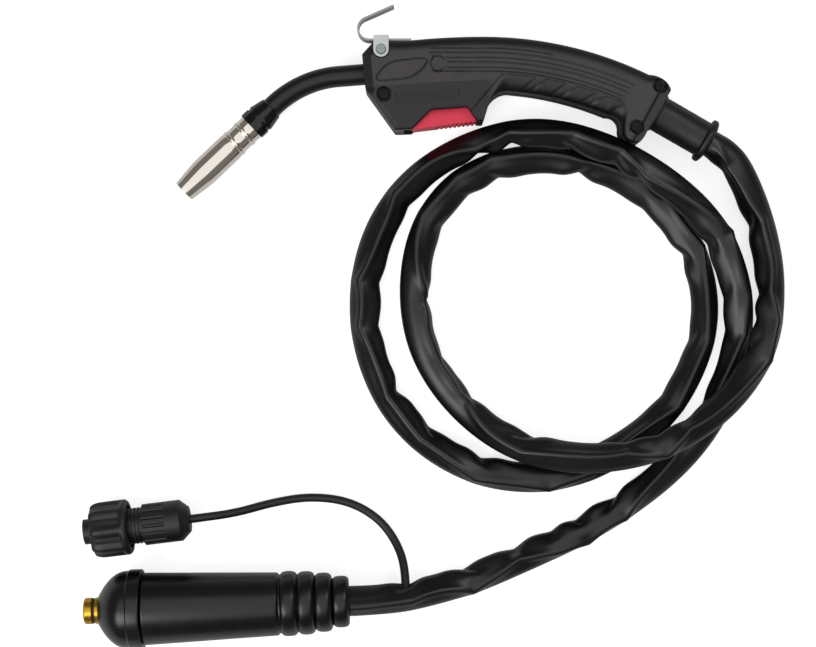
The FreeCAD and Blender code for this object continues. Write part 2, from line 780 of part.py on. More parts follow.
# The shells: the shaped handle parted at half its thickness
for label, low, high in (("handle_shell_lower", "0 - 1", "half"),
                         ("handle_shell_upper", "half", "handle_thickness + 1")):
    zone = document.addObject("Part::Box", label + "_zone")
    bind(zone, "Length", "3 * grip_curve_radius")
    bind(zone, "Width", "3 * grip_curve_radius")
    bind(zone, "Height", f"({high}) - ({low})")
    place(zone, ("0 - 1.5 * grip_curve_radius", "0 - 1.5 * grip_curve_radius", low, "0"))
    shell = document.addObject("Part::Common", label)
    shell.Base = shaped
    shell.Tool = zone
    PARTS[label] = shell


# Screws: three black ones through both shells, and two bright ones that carry the hook's saddle


def screw(label, head_radius, head_height, shank_radius, length):
    """A screw along X from its head's top at the origin, with a cross recess."""
    body = turned(label, [
        ("0", "0"),
        ("0", f"({head_radius}) - screw_head_chamfer"),
        ("screw_head_chamfer", head_radius),
        (head_height, head_radius),
        (head_height, shank_radius),
        (f"{head_height} + {length} - {shank_radius}", shank_radius),
        (f"{head_height} + {length}", "screw_point_radius"),
        (f"{head_height} + {length}", "0"),
    ], HANDLE)
    for turn, (wide, narrow) in enumerate((("screw_cross_length", "screw_cross_width"),
                                           ("screw_cross_width", "screw_cross_length"))):
        sketch = new_sketch(body, "YZ_Plane", f"{label}_cross_{turn}")
        draw(sketch, [(f"0 - {wide} / 2", f"0 - {narrow} / 2"), (f"{wide} / 2", f"0 - {narrow} / 2"),
                      (f"{wide} / 2", f"{narrow} / 2"), (f"0 - {wide} / 2", f"{narrow} / 2")])
        document.recompute()
        before = body.Shape.Volume
        pocket = body.newObject("PartDesign::Pocket", f"{label}_cross_cut_{turn}")
        pocket.Profile = sketch
        pocket.Reversed = True
        bind(pocket, "Length", "screw_cross_depth")
        document.recompute()
        assert body.Shape.Volume < before - 0.001, f"{label} has no cross recess"
    return body


def standing(x, y, z, down=True):
    """The place of a screw that goes down into the handle from its head, or up into it."""
    turn = FreeCAD.Rotation(FreeCAD.Vector(0, 1, 0), 90 if down else -90)
    return FreeCAD.Placement(FreeCAD.Vector(size(x), size(y), size(z)), turn)


shell_screw = screw("shell_screw", "shell_screw_head_radius", "shell_screw_head_height", "shell_screw_radius",
                    "handle_thickness - screw_recess_depth - half + screw_bite")
under_head = "handle_thickness - screw_recess_depth + shell_screw_head_height"
copies("shell_screws", shell_screw, [standing(x, y, under_head) for x, y in SHELL_SCREWS.values()])
hook_screw = screw("hook_screw", "hook_screw_head_radius", "hook_screw_head_height", "hook_screw_radius",
                   "hook_screw_length")
hook_head = "saddle_recess_depth - saddle_sheet - saddle_slack - hook_screw_head_height"
copies("hook_screws", hook_screw, [standing(*PIVOT, f"handle_thickness - ({hook_head})"),
                                   standing(*PIVOT, hook_head, down=False)])

# Hook: a strip of spring steel that lies on the handle, bends back over itself and ends in a straight tip
hook_inner = "hook_bend_radius - hook_strip_thickness / 2"
hook_outer = "hook_bend_radius + hook_strip_thickness / 2"
bend_x = "0 - hook_pivot_x - hook_fore"
bend_y = "strip_foot + hook_strip_thickness / 2 + hook_bend_radius"


def on_hook(radius, reach):
    """A point of the straight tip, on the side of the strip that lies at this radius of the bend."""
    x = f"{bend_x} - ({radius}) * sin(hook_tip_angle) + ({reach}) * cos(hook_tip_angle)"
    y = f"{bend_y} + ({radius}) * cos(hook_tip_angle) + ({reach}) * sin(hook_tip_angle)"
    return x, y


sheet_metal("hook", [
    ("hook_tail - hook_pivot_x", "strip_foot"),
    ("hook_tail - hook_pivot_x", "strip_top"),
    (bend_x, "strip_top", hook_inner, -1),
    (f"{bend_x} - ({hook_inner})", bend_y, hook_inner, -1),
    on_hook(hook_inner, "0"),
    on_hook(hook_inner, "hook_tip_length"),
    on_hook(hook_outer, "hook_tip_length"),
    (*on_hook(hook_outer, "0"), hook_outer),
    (f"{bend_x} - ({hook_outer})", bend_y, hook_outer),
    (bend_x, "strip_foot"),
], "0 - hook_strip_width / 2", "hook_strip_width / 2", ("0", "0", "half", "0"))

# Saddle: a bent sheet over the handle whose two rounded ears turn on the side screws
ear = "saddle_width / 2"
saddle = sheet_metal("hook_saddle", [
    (f"0 - hook_pivot_x - {ear}", "hook_pivot_y", ear),
    ("0 - hook_pivot_x", f"hook_pivot_y - {ear}", ear),
    (f"0 - hook_pivot_x + {ear}", "hook_pivot_y"),
    (f"0 - hook_pivot_x + {ear}", "saddle_top"),
    (f"0 - hook_pivot_x - {ear}", "saddle_top"),
], "saddle_recess_depth - saddle_sheet - saddle_slack",
    "handle_thickness - saddle_recess_depth + saddle_sheet + saddle_slack", HANDLE)
inside = new_sketch(saddle, "YZ_Plane", "hook_saddle_inside")
inner_low = "saddle_sheet"
inner_high = "handle_thickness - 2 * (saddle_recess_depth - saddle_slack) + saddle_sheet"
draw(inside, [("0", inner_low), ("strip_top", inner_low), ("strip_top", inner_high), ("0", inner_high)])
cut_through(saddle, inside, "hook_saddle_bend")
eyes = new_sketch(saddle, "XY_Plane", "hook_saddle_eyes")
draw_circle(eyes, *PIVOT, "hook_screw_radius + saddle_turning_clearance")
cut_through(saddle, eyes, "hook_saddle_holes")

# Trigger: a red lever on a pin at its front, with a serrated finger edge and a post for the switch
trigger_x = "0 - trigger_front + trigger_gap"
trigger = sheet_metal("trigger", [
    (trigger_x, "0 - trigger_front_foot + trigger_gap / 2"),
    ("0 - trigger_edge_x", "0 - trigger_edge_y"),
    ("0 - trigger_rear_foot - trigger_gap / 3", "0 - housing_rear_foot - trigger_gap / 3"),
    ("0 - trigger_rear + trigger_gap", "0 - trigger_roof + trigger_gap / 2"),
    ("0 - trigger_rear + trigger_gap", "0 - trigger_back"),
    ("0 - trigger_post_x + trigger_post_width / 2", "0 - trigger_back"),
    ("0 - trigger_post_x + trigger_post_width / 2", "trigger_post_top"),
    ("0 - trigger_post_x - trigger_post_width / 2", "trigger_post_top"),
    ("0 - trigger_post_x - trigger_post_width / 2", "0 - trigger_back"),
    ("0 - trigger_pivot_x", "0 - trigger_back", "trigger_eye_radius"),
    ("0 - trigger_pivot_x - trigger_eye_radius", "0 - trigger_pivot_y", "trigger_eye_radius"),
    ("0 - trigger_pivot_x - trigger_eye_radius * sin(45)",
     "0 - trigger_pivot_y - trigger_eye_radius * cos(45)"),
], "0 - trigger_width / 2", "trigger_width / 2", ("0", "0", "half", "0"))
eye = new_sketch(trigger, "XY_Plane", "trigger_eye")
draw_circle(eye, *TRIGGER_PIVOT, "trigger_pin_radius + trigger_pin_clearance")
cut_through(trigger, eye, "trigger_eye_hole")
teeth = new_sketch(trigger, "XY_Plane", "trigger_teeth")
for tooth in range(TOOTH_COUNT):
    share = f"{tooth + 0.5} / {TOOTH_COUNT}"
    draw_circle(teeth, f"0 - trigger_edge_x + (trigger_edge_x - trigger_rear_foot) * {share}",
                f"0 - trigger_edge_y + (trigger_edge_y - housing_rear_foot) * {share} - tooth_radius / 2",
                "tooth_radius")
cut_through(trigger, teeth, "trigger_serrations")

pin = new_body("trigger_pin", (*TRIGGER_PIVOT, "pin_end_wall", "0"))
pin_circle = new_sketch(pin, "XY_Plane", "trigger_pin_circle")
draw_circle(pin_circle, "0", "0", "trigger_pin_radius")
pin_pad = pin.newObject("PartDesign::Pad", "trigger_pin_pad")
pin_pad.Profile = pin_circle
bind(pin_pad, "Length", "handle_thickness - 2 * pin_end_wall")


def coil(label, radius, wire, pitch, turns, spot):
    """A round-wire spring whose axis is the place's Z, swept along the quarter turns of its coil."""
    def on_coil(eighth):
        angle = eighth * math.pi / 4
        return FreeCAD.Vector(size(radius) * math.cos(angle), size(radius) * math.sin(angle),
                              size(pitch) * eighth / 8)

    quarters = [Part.Arc(on_coil(start), on_coil(start + 1), on_coil(start + 2)).toShape()
                for start in range(0, 8 * round(size(turns)), 2)]
    heading = quarters[0].tangentAt(quarters[0].FirstParameter)
    section = Part.Wire(Part.makeCircle(size(wire) / 2, on_coil(0), heading))
    piece = loose(label, Part.Wire(quarters).makePipeShell([section], True, False))
    piece.Placement = spot
    return piece


spring_room = size("spring_seat_y + trigger_back")
spring_pitch = f"{spring_room} / trigger_spring_turns - trigger_spring_wire / trigger_spring_turns"
spring_foot = FreeCAD.Vector(size("0 - trigger_spring_x"), size("trigger_spring_wire / 2 - trigger_back"),
                             size("half"))
coil("trigger_spring", "trigger_spring_radius", "trigger_spring_wire", spring_pitch, "trigger_spring_turns",
     FreeCAD.Placement(spring_foot, FreeCAD.Rotation(FreeCAD.Vector(1, 0, 0), -90)))

# Switch: a small box on two pins, with a plunger that the trigger's post presses
switch = sheet_metal("switch_body", [
    ("switch_x", "switch_y"),
    ("switch_x + switch_length", "switch_y"),
    ("switch_x + switch_length", "switch_y + switch_height"),
    ("switch_x", "switch_y + switch_height"),
], "0 - switch_width / 2", "switch_width / 2", ("0", "0", "half", "0"))
switch_holes = new_sketch(switch, "XY_Plane", "switch_pin_holes")
for x, y in SWITCH_PINS:
    draw_circle(switch_holes, x, y, "switch_pin_radius + screw_hole_clearance")
cut_through(switch, switch_holes, "switch_pin_ways")
document.recompute()
plunger_bore = switch.newObject("Sketcher::SketchObject", "plunger_bore")
plunger_bore.AttachmentSupport = [(origin_plane(switch, "XZ_Plane"), "")]
plunger_bore.MapMode = "FlatFace"
plunger_bore.setExpression("AttachmentOffset.Base.z", full("0 - switch_y"))
draw_circle(plunger_bore, "0 - trigger_post_x", "switch_width / 2", "plunger_radius + plunger_clearance")
document.recompute()
before = switch.Shape.Volume
bore = switch.newObject("PartDesign::Pocket", "plunger_bore_cut")
bore.Profile = plunger_bore
bind(bore, "Length", "plunger_depth + plunger_travel_room")
document.recompute()
assert switch.Shape.Volume < before - 1, "the switch has no bore for its plunger"
turned("switch_plunger", [
    ("0", "0"),
    ("0", "plunger_radius"),
    ("plunger_reach + plunger_depth - plunger_radius / 2", "plunger_radius"),
    ("plunger_reach + plunger_depth", "plunger_radius / 2"),
    ("plunger_reach + plunger_depth", "0"),
], ("0 - trigger_post_x", "switch_y + plunger_depth", "half", "0 - 90"))


# Cords and cables: straight runs joined by arcs as large as two neighbouring runs allow


def path_of(points, bends=(), share=0.45):
    """
    A path of straight runs and tangent arcs. Each arc takes up this share of the shorter run beside it,
    unless bends gives a radius for its corner.
    """
    spots = [FreeCAD.Vector(*point) for point in points]
    edges, radii = [], []
    here = spots[0]
    for number, (before, corner, after) in enumerate(zip(spots, spots[1:], spots[2:])):
        back = (before - corner).normalize()
        ahead = (after - corner).normalize()
        reach = share * min((before - corner).Length, (after - corner).Length)
        half_turn = (math.pi - back.getAngle(ahead)) / 2
        if number < len(bends) and bends[number]:
            reach = bends[number] * math.tan(half_turn)
        radius = reach / math.tan(half_turn)
        start = corner + back * reach
        end = corner + ahead * reach
        inward = (back + ahead).normalize()
        middle = corner + inward * (radius / math.cos(half_turn) - radius)
        edges += [Part.LineSegment(here, start).toShape(), Part.Arc(start, middle, end).toShape()]
        radii.append(radius)
        here = end
    edges.append(Part.LineSegment(here, spots[-1]).toShape())
    return Part.Wire(edges), radii


def cable(label, points, radius, bends=()):
    """A round solid along a path, as long as the path and checked against its own length."""
    path, radii = path_of(points, bends)
    heading = FreeCAD.Vector(*points[1]) - FreeCAD.Vector(*points[0])
    section = Part.Wire(Part.makeCircle(radius, FreeCAD.Vector(*points[0]), heading))
    solid = path.makePipeShell([section], True, False)
    expected = math.pi * radius ** 2 * path.Length
    assert abs(solid.Volume / expected - 1) < 0.01, f"{label} has the wrong volume"
    print(f"{label}: {path.Length:.0f} mm long, radii {sorted(round(one) for one in radii)[:8]} ...")
    return loose(label, solid)


def spot_on(frame, distance):
    """A point on a frame's X axis, as numbers."""
    return tuple(size(text) for text in along(frame, distance)[:3])


block_end = spot_on(INWARD, "neck_in_handle + block_length - cable_grip")
hose_start = spot_on(SUPPORT, "support_length - hose_seat_depth")
slope_in, slope_out = math.tan(math.radians(size("neck_slope"))), math.tan(math.radians(size("grip_turn")))
support = spot_on(SUPPORT, "0")
rise = support[1] + support[0] * slope_out - block_end[1] + block_end[0] * slope_in
corner_x = rise / (slope_in + slope_out)
corner = (corner_x, block_end[1] + (corner_x - block_end[0]) * slope_in, size("half"))
cable("cable_in_handle", [block_end, corner, hose_start], size("cable_radius"), [size("cable_bend_radius")])

# Two thin switch leads rise from the switch, then keep one distance below the cable, round its bend and
# through the support tube
drop = size("lead_offset")
heading_in = FreeCAD.Vector(1, slope_in, 0).normalize()
below_in = FreeCAD.Vector(slope_in, -1, 0).normalize()
below_out = FreeCAD.Vector(-slope_out, -1, 0).normalize()
lead_end = FreeCAD.Vector(*hose_start) + below_out * drop
lead_corner = FreeCAD.Vector(*corner) + (below_in + below_out) * (drop / (1 + below_in.dot(below_out)))
lead_join = lead_corner - heading_in * size("lead_run")
lead_start = (size("switch_x + switch_length - switch_pin_inset"), size("switch_y + switch_height"))
lead_bends = (None, None, size("cable_bend_radius") - drop)
leads = []
for side in (-1, 1):
    z = size("half") + side * size("switch_lead_spacing") / 2
    points = [(*lead_start, z), (lead_start[0], lead_start[1] + size("lead_rise"), z)]
    points += [(spot.x, spot.y, z) for spot in (lead_join, lead_corner, lead_end)]
    path, radii = path_of(points, lead_bends)
    heading = FreeCAD.Vector(*points[1]) - FreeCAD.Vector(*points[0])
    section = Part.Wire(Part.makeCircle(size("switch_lead_radius"), FreeCAD.Vector(*points[0]), heading))
    leads.append(path.makePipeShell([section], True, False))
loose("switch_leads", Part.makeCompound(leads))


# Neck: a brass tube inside a black sheath, bent down towards the nozzle, with the wire's liner inside


def neck_pipe(label, outer, inner, rear, front):
    """A bent tube along the neck, from rear inside the handle to front past the end of the bend."""
    x, y, z, yaw = along(INWARD, rear)
    body = new_body(label, (x, y, z, f"180 + {yaw}"))
    path = new_sketch(body, "XY_Plane", label + "_path")
    straight = f"{rear} + neck_straight"
    past = f"neck_tail + {front}"
    spots = [
        ("0", "0"),
        (straight, "0"),
        (f"{straight} + neck_bend_radius * sin(neck_bend)", "neck_bend_radius * (1 - cos(neck_bend))"),
        (f"{straight} + neck_bend_radius * sin(neck_bend) + ({past}) * cos(neck_bend)",
         f"neck_bend_radius * (1 - cos(neck_bend)) + ({past}) * sin(neck_bend)"),
    ]
    points = [FreeCAD.Vector(size(x), size(y), 0) for x, y in spots]
    path.addGeometry(Part.LineSegment(points[0], points[1]))
    centre = points[1] + FreeCAD.Vector(0, size("neck_bend_radius"), 0)
    turn = math.radians(size("neck_bend"))
    circle = Part.Circle(centre, FreeCAD.Vector(0, 0, 1), size("neck_bend_radius"))
    path.addGeometry(Part.ArcOfCircle(circle, -math.pi / 2, turn - math.pi / 2))
    path.addGeometry(Part.LineSegment(points[2], points[3]))
    path.addConstraint(Sketcher.Constraint("Coincident", 0, 2, 1, 1))
    path.addConstraint(Sketcher.Constraint("Coincident", 1, 2, 2, 1))
    for edge, end, spot in ((0, 1, spots[0]), (0, 2, spots[1]), (1, 2, spots[2]), (2, 2, spots[3])):
        fix_point(path, edge, end, *spot)
    held = path.addConstraint(Sketcher.Constraint("Radius", 1, size("neck_bend_radius")))
    path.setExpression(f"Constraints[{held}]", full("neck_bend_radius"))
    rings = new_sketch(body, "YZ_Plane", label + "_section")
    draw_circle(rings, "0", "0", outer)
    draw_circle(rings, "0", "0", inner)
    pipe = body.newObject("PartDesign::AdditivePipe", label + "_pipe")
    pipe.Profile = rings
    pipe.Spine = path
    return body


neck_pipe("neck_sheath", "sheath_radius", "sheath_radius - sheath_wall", "neck_in_handle", "neck_in_collar")
neck_pipe("neck_tube", "tube_radius", "tube_bore_radius", "neck_in_handle + neck_tube_in_block",
          "neck_in_collar + neck_tube_reach")
neck_pipe("wire_liner", "liner_radius", "liner_bore_radius", "neck_in_handle + block_length - cable_grip",
          "holder_end - tip_thread_length - neck_fit")

# Collar: a glossy black insulator that slips over the neck, with a spigot that centres the nozzle
collar = turned("insulating_collar", [
    ("0", "sheath_radius + neck_fit"),
    ("0", "collar_rear_radius - collar_rear_round"),
    ("collar_rear_round", "collar_rear_radius"),
    ("collar_groove_at", "collar_front_radius"),
    ("collar_groove_at", "collar_front_radius - collar_groove_depth"),
    ("collar_groove_at + collar_groove_width", "collar_front_radius - collar_groove_depth"),
    ("collar_groove_at + collar_groove_width", "collar_front_radius"),
    ("collar_length", "collar_front_radius"),
    ("collar_length", "spigot_radius"),
    ("collar_length + spigot_length", "spigot_radius"),
    ("collar_length + spigot_length", "holder_radius + neck_fit"),
    ("holder_at", "holder_radius + neck_fit"),
    ("holder_at", "tube_radius + neck_fit"),
    ("neck_in_collar", "tube_radius + neck_fit"),
    ("neck_in_collar", "sheath_radius + neck_fit"),
], NOZZLE)
flats = new_sketch(collar, "YZ_Plane", "insulating_collar_flats")
flat_reach = "collar_front_radius - collar_flat_depth"
draw(flats, [(flat_reach, "0 - collar_flat_width"), ("collar_front_radius + 1", "0 - collar_flat_width"),
             ("collar_front_radius + 1", "collar_flat_width"), (flat_reach, "collar_flat_width")])
document.recompute()
before = collar.Shape.Volume
flat_cut = collar.newObject("PartDesign::Pocket", "insulating_collar_flat")
flat_cut.Profile = flats
flat_cut.Type = "ThroughAll"
flat_cut.Reversed = True
document.recompute()
assert collar.Shape.Volume < before - 0.01, "the collar has no flats"
repeat(collar, flat_cut, "collar_flat_count", "insulating_collar_all_flats")

# Tip holder: brass, screwed into the neck tube, with a ring of gas holes behind the contact tip
holder = turned("tip_holder", [
    ("holder_at", "tube_radius + neck_fit"),
    ("holder_at", "holder_radius"),
    ("holder_end - 1", "holder_radius"),
    ("holder_end", "holder_radius - 1"),
    ("holder_end", "tip_thread_radius + neck_fit"),
    ("holder_end - tip_thread_length - 1", "tip_thread_radius + neck_fit"),
    ("holder_end - tip_thread_length - 1", "holder_radius - holder_wall"),
    ("neck_in_collar + neck_tube_reach", "holder_radius - holder_wall"),
    ("neck_in_collar + neck_tube_reach", "tube_radius + neck_fit"),
], NOZZLE)
gas_holes = new_sketch(holder, "XY_Plane", "gas_holes")
draw_circle(gas_holes, "gas_hole_at", "0", "gas_hole_radius")
gas_cut = cut_through(holder, gas_holes, "gas_hole_pair")
repeat(holder, gas_cut, "gas_hole_count", "gas_hole_ring")

turned("contact_tip", [
    ("holder_end - tip_thread_length", "tip_wire_radius"),
    ("holder_end - tip_thread_length", "tip_thread_radius"),
    ("holder_end", "tip_thread_radius"),
    ("holder_end", "tip_radius"),
    ("holder_end + tip_length - tip_nose_length", "tip_radius"),
    ("holder_end + tip_length", "tip_nose_radius"),
    ("holder_end + tip_length", "tip_wire_radius"),
], NOZZLE)

# Gas nozzle: a plated sleeve with two rolled beads and a tapered mouth, pushed over the spring


def bead(middle):
    """The rounded bead of the nozzle round this place on its axis."""
    return [
        (f"{middle} - bead_width / 2", "nozzle_neck_radius"),
        (f"{middle} - bead_width / 4", "bead_radius"),
        (f"{middle} + bead_width / 4", "bead_radius"),
        (f"{middle} + bead_width / 2", "nozzle_neck_radius"),
    ]


turned("gas_nozzle", [
    ("0", "nozzle_bore"),
    ("0", "nozzle_neck_radius"),
    *bead("first_bead_at"),
    *bead("second_bead_at"),
    ("nozzle_body_at", "nozzle_neck_radius"),
    ("nozzle_body_at + 1", "nozzle_radius"),
    ("nozzle_length - nozzle_taper_length", "nozzle_radius"),
    ("nozzle_length", "nozzle_tip_radius"),
    ("nozzle_length", "nozzle_tip_radius - nozzle_wall"),
    ("nozzle_length - nozzle_taper_length", "nozzle_bore"),
], along(NOZZLE, "collar_length"))
spring_spot = FreeCAD.Vector(*spot_on(NOZZLE, "collar_length + 3"))
along_nozzle = FreeCAD.Rotation(FreeCAD.Vector(0, 0, 1), size("nozzle_yaw")) * FreeCAD.Rotation(
    FreeCAD.Vector(0, 1, 0), 90)
coil("nozzle_spring", "nozzle_mean_spring", "nozzle_spring_wire", "nozzle_spring_pitch", "nozzle_spring_turns",
     FreeCAD.Placement(spring_spot, along_nozzle))

# Brass block that joins the neck to the power cable, and the crimp behind it
turned("power_block", [
    ("neck_in_handle", "tube_radius + neck_fit"),
    ("neck_in_handle", "block_radius"),
    ("neck_in_handle + block_length", "block_radius"),
    ("neck_in_handle + block_length", "cable_radius + neck_fit"),
    ("neck_in_handle + block_length - cable_grip", "cable_radius + neck_fit"),
    ("neck_in_handle + block_length - cable_grip", "liner_radius + neck_fit"),
    ("neck_in_handle + neck_tube_in_block", "liner_radius + neck_fit"),
    ("neck_in_handle + neck_tube_in_block", "tube_radius + neck_fit"),
], INWARD)
turned("cable_crimp", ring_profile("neck_in_handle + block_length", "neck_in_handle + block_length + crimp_length",
                                   "cable_radius + neck_fit + crimp_wall", "cable_radius + neck_fit"), INWARD)

# Support tube at the back of the handle: a lock ring inside, a collar outside and an end flange
turned("hose_support", [
    ("0 - support_in_handle", "support_bore_radius"),
    ("0 - support_in_handle", "support_radius"),
    ("0 - support_lock_at - support_lock_width", "support_radius"),
    ("0 - support_lock_at - support_lock_width", "support_lock_radius"),
    ("0 - support_lock_at", "support_lock_radius"),
    ("0 - support_lock_at", "support_radius"),
    ("0", "support_radius"),
    ("0", "support_ring_radius"),
    ("support_ring_width", "support_ring_radius"),
    ("support_ring_width", "support_radius"),
    ("support_length - support_flange_width", "support_radius"),
    ("support_length - support_flange_width", "support_flange_radius"),
    ("support_length", "support_flange_radius"),
    ("support_length", "hose_radius + hose_fit"),
    ("support_length - hose_seat_depth", "hose_radius + hose_fit"),
    ("support_length - hose_seat_depth", "support_bore_radius"),
], SUPPORT)

# Power plug: a rubber boot with four bellows rings, a hard nose ring and a brass pin


def bellows():
    """The outside of the bellows: each ring is domed and ends in a groove."""
    corners = []
    for number, radius in enumerate(("boot_first_ring_radius", "boot_second_ring_radius",
                                     "boot_third_ring_radius", "boot_fourth_ring_radius")):
        start = f"{number} * boot_ring_width"
        corners += [
            (start, f"{radius} - boot_groove_depth"),
            (f"{start} + boot_groove_width", radius),
            (f"{start} + boot_ring_width - 2 * boot_groove_width", radius),
            (f"{start} + boot_ring_width - boot_groove_width", f"{radius} - boot_groove_depth"),
        ]
    return corners


turned("plug_boot", [
    ("0", "hose_radius + hose_fit"),
    *bellows(),
    ("bellows_length", "boot_rear_radius"),
    ("boot_length", "boot_front_radius"),
    ("boot_length", "socket_radius + neck_fit"),
    ("socket_at", "socket_radius + neck_fit"),
    ("socket_at", "cable_radius + hose_fit"),
    ("boot_seat_depth", "cable_radius + hose_fit"),
    ("boot_seat_depth", "hose_radius + hose_fit"),
], PLUG)
turned("plug_nose", [
    ("boot_length", "socket_radius + neck_fit"),
    ("boot_length", "nose_ring_radius - 1"),
    ("boot_length + 1", "nose_ring_radius"),
    ("boot_length + nose_ring_width", "nose_ring_radius"),
    ("plug_length", "nose_tip_radius"),
    ("plug_length", "pin_radius + neck_fit"),
    ("pin_shoulder_at + pin_shoulder_width", "pin_radius + neck_fit"),
    ("pin_shoulder_at + pin_shoulder_width", "pin_shoulder_radius + neck_fit"),
    ("pin_shoulder_at", "pin_shoulder_radius + neck_fit"),
    ("pin_shoulder_at", "socket_radius + neck_fit"),
], PLUG)
turned("power_pin", [
    ("pin_shoulder_at - pin_tail_length", "pin_bore_radius"),
    ("pin_shoulder_at - pin_tail_length", "pin_tail_radius"),
    ("pin_shoulder_at", "pin_tail_radius"),
    ("pin_shoulder_at", "pin_shoulder_radius"),
    ("pin_shoulder_at + pin_shoulder_width", "pin_shoulder_radius"),
    ("pin_shoulder_at + pin_shoulder_width", "pin_radius"),
    ("plug_length + pin_groove_at", "pin_radius"),
    ("plug_length + pin_groove_at", "pin_radius - pin_groove_depth"),
    ("plug_length + pin_groove_at + pin_groove_width", "pin_radius - pin_groove_depth"),
    ("plug_length + pin_groove_at + pin_groove_width", "pin_radius"),
    ("plug_length + pin_reach - pin_chamfer", "pin_radius"),
    ("plug_length + pin_reach", "pin_radius - pin_chamfer"),
    ("plug_length + pin_reach", "pin_bore_radius"),
], PLUG)
seal_middle = "plug_length + pin_groove_at + pin_groove_width / 2"
turned("pin_seal", ring_profile(f"{seal_middle} - pin_seal_width / 2", f"{seal_middle} + pin_seal_width / 2",
                                "pin_radius - pin_seal_inset", "pin_radius - pin_groove_depth"), PLUG)
socket = turned("socket_turned", [
    ("socket_at", "socket_bore_radius"),
    ("socket_at", "socket_radius"),
    ("pin_shoulder_at", "socket_radius"),
    ("pin_shoulder_at", "pin_tail_radius + neck_fit"),
    ("pin_shoulder_at - pin_tail_length", "pin_tail_radius + neck_fit"),
    ("pin_shoulder_at - pin_tail_length", "pin_bore_radius"),
    ("socket_at + socket_bore_depth", "pin_bore_radius"),
    ("socket_at + socket_bore_depth", "socket_bore_radius"),
], PLUG)
del PARTS["socket_turned"]
screw_ways, set_screw_solids = [], []
for number in range(SET_SCREW_COUNT):
    x, y, z, yaw = along(PLUG, f"socket_at + set_screw_inset + {number} * set_screw_spacing")
    low, high = f"{z} + cable_radius + neck_fit", f"{z} + socket_radius - set_screw_sunk"
    screw_ways.append(post(f"set_screw_way_{number}", x, y, f"{z} + socket_bore_radius - 1",
                           f"{z} + socket_radius + 1", "set_screw_radius + neck_fit"))
    set_screw_solids.append(post(f"set_screw_{number}", x, y, low, high, "set_screw_radius"))
PARTS["cable_socket"] = difference("cable_socket", socket, joined("set_screw_ways", screw_ways))
document.recompute()
loose("set_screws", Part.makeCompound([one.Shape.copy() for one in set_screw_solids]))
cable("cable_in_plug", [spot_on(PLUG, "boot_seat_depth"), spot_on(PLUG, "socket_at + socket_bore_depth")],
      size("cable_radius"))

# Control plug: body, insulating insert with pins, lobed coupling ring, gland nut and cable seal
gland = turned("gland_nut", [
    ("0", "gland_mouth_radius"),
    ("0", "gland_mouth_radius + gland_lip"),
    ("gland_dome_length", "gland_radius"),
    ("gland_length", "gland_radius"),
    ("gland_length", "body_thread_radius + neck_fit"),
    ("gland_dome_length + seal_length", "body_thread_radius + neck_fit"),
    ("gland_dome_length", "body_thread_radius + neck_fit"),
    ("gland_dome_length", "control_cable_radius + hose_fit"),
    ("gland_mouth_depth", "control_cable_radius + hose_fit"),
], CONTROL)
flute = gland.newObject("Sketcher::SketchObject", "gland_flute")
flute.AttachmentSupport = [(origin_plane(gland, "YZ_Plane"), "")]
flute.MapMode = "FlatFace"
flute.setExpression("AttachmentOffset.Base.z", full("gland_length - gland_flute_length"))
draw_circle(flute, "gland_radius + gland_flute_radius / 3", "0", "gland_flute_radius")
document.recompute()
before = gland.Shape.Volume
flute_cut = gland.newObject("PartDesign::Pocket", "gland_flute_cut")
flute_cut.Profile = flute
flute_cut.Type = "ThroughAll"
flute_cut.Reversed = True
document.recompute()
assert gland.Shape.Volume < before - 0.1, "the gland nut has no flutes"
repeat(gland, flute_cut, "gland_flute_count", "gland_flutes")

turned("cable_seal", ring_profile("gland_dome_length", "gland_dome_length + seal_length",
                                  "body_thread_radius", "control_cable_radius + seal_fit"), CONTROL)


def body_rings():
    """The ridges round the middle of the control plug's body."""
    corners = []
    for number in range(BODY_RING_COUNT):
        start = f"gland_length + {number} * body_ring_pitch"
        corners += [
            (start, "body_radius"),
            (f"{start} + body_ring_pitch / 2", "body_radius"),
            (f"{start} + body_ring_pitch / 2", "body_radius - body_ring_depth"),
            (f"{start} + body_ring_pitch", "body_radius - body_ring_depth"),
        ]
    return corners


turned("control_plug_body", [
    ("gland_dome_length + seal_length", "body_bore_radius"),
    ("gland_dome_length + seal_length", "body_thread_radius"),
    ("gland_length", "body_thread_radius"),
    *body_rings(),
    (f"gland_length + {BODY_RING_COUNT} * body_ring_pitch", "body_radius"),
    ("flange_at", "body_radius"),
    ("flange_at", "flange_radius"),
    ("flange_at + flange_width", "flange_radius"),
    ("flange_at + flange_width", "barrel_radius - barrel_waist"),
    ("control_length - barrel_lip", "barrel_radius - barrel_waist"),
    ("control_length - barrel_lip", "barrel_radius"),
    ("control_length", "barrel_radius"),
    ("control_length", "insert_radius + neck_fit"),
    ("insert_at", "insert_radius + neck_fit"),
    ("insert_at", "body_bore_radius"),
], CONTROL)
ring = turned("coupling_ring", [
    ("coupling_at", "body_radius + coupling_clearance"),
    ("coupling_at", "coupling_radius - 2"),
    ("coupling_at + 2", "coupling_radius"),
    ("coupling_at + coupling_length - 1", "coupling_radius"),
    ("coupling_at + coupling_length", "coupling_radius - 1"),
    ("coupling_at + coupling_length", "flange_radius + coupling_clearance"),
    ("flange_at - coupling_clearance", "flange_radius + coupling_clearance"),
    ("flange_at - coupling_clearance", "body_radius + coupling_clearance"),
], CONTROL)
notch = new_sketch(ring, "YZ_Plane", "coupling_notch")
draw_circle(notch, "coupling_radius + coupling_notch_radius - coupling_notch_depth", "0",
            "coupling_notch_radius")
notch_cut = cut_through(ring, notch, "coupling_notch_cut")
repeat(ring, notch_cut, "coupling_lobe_count", "coupling_lobes")

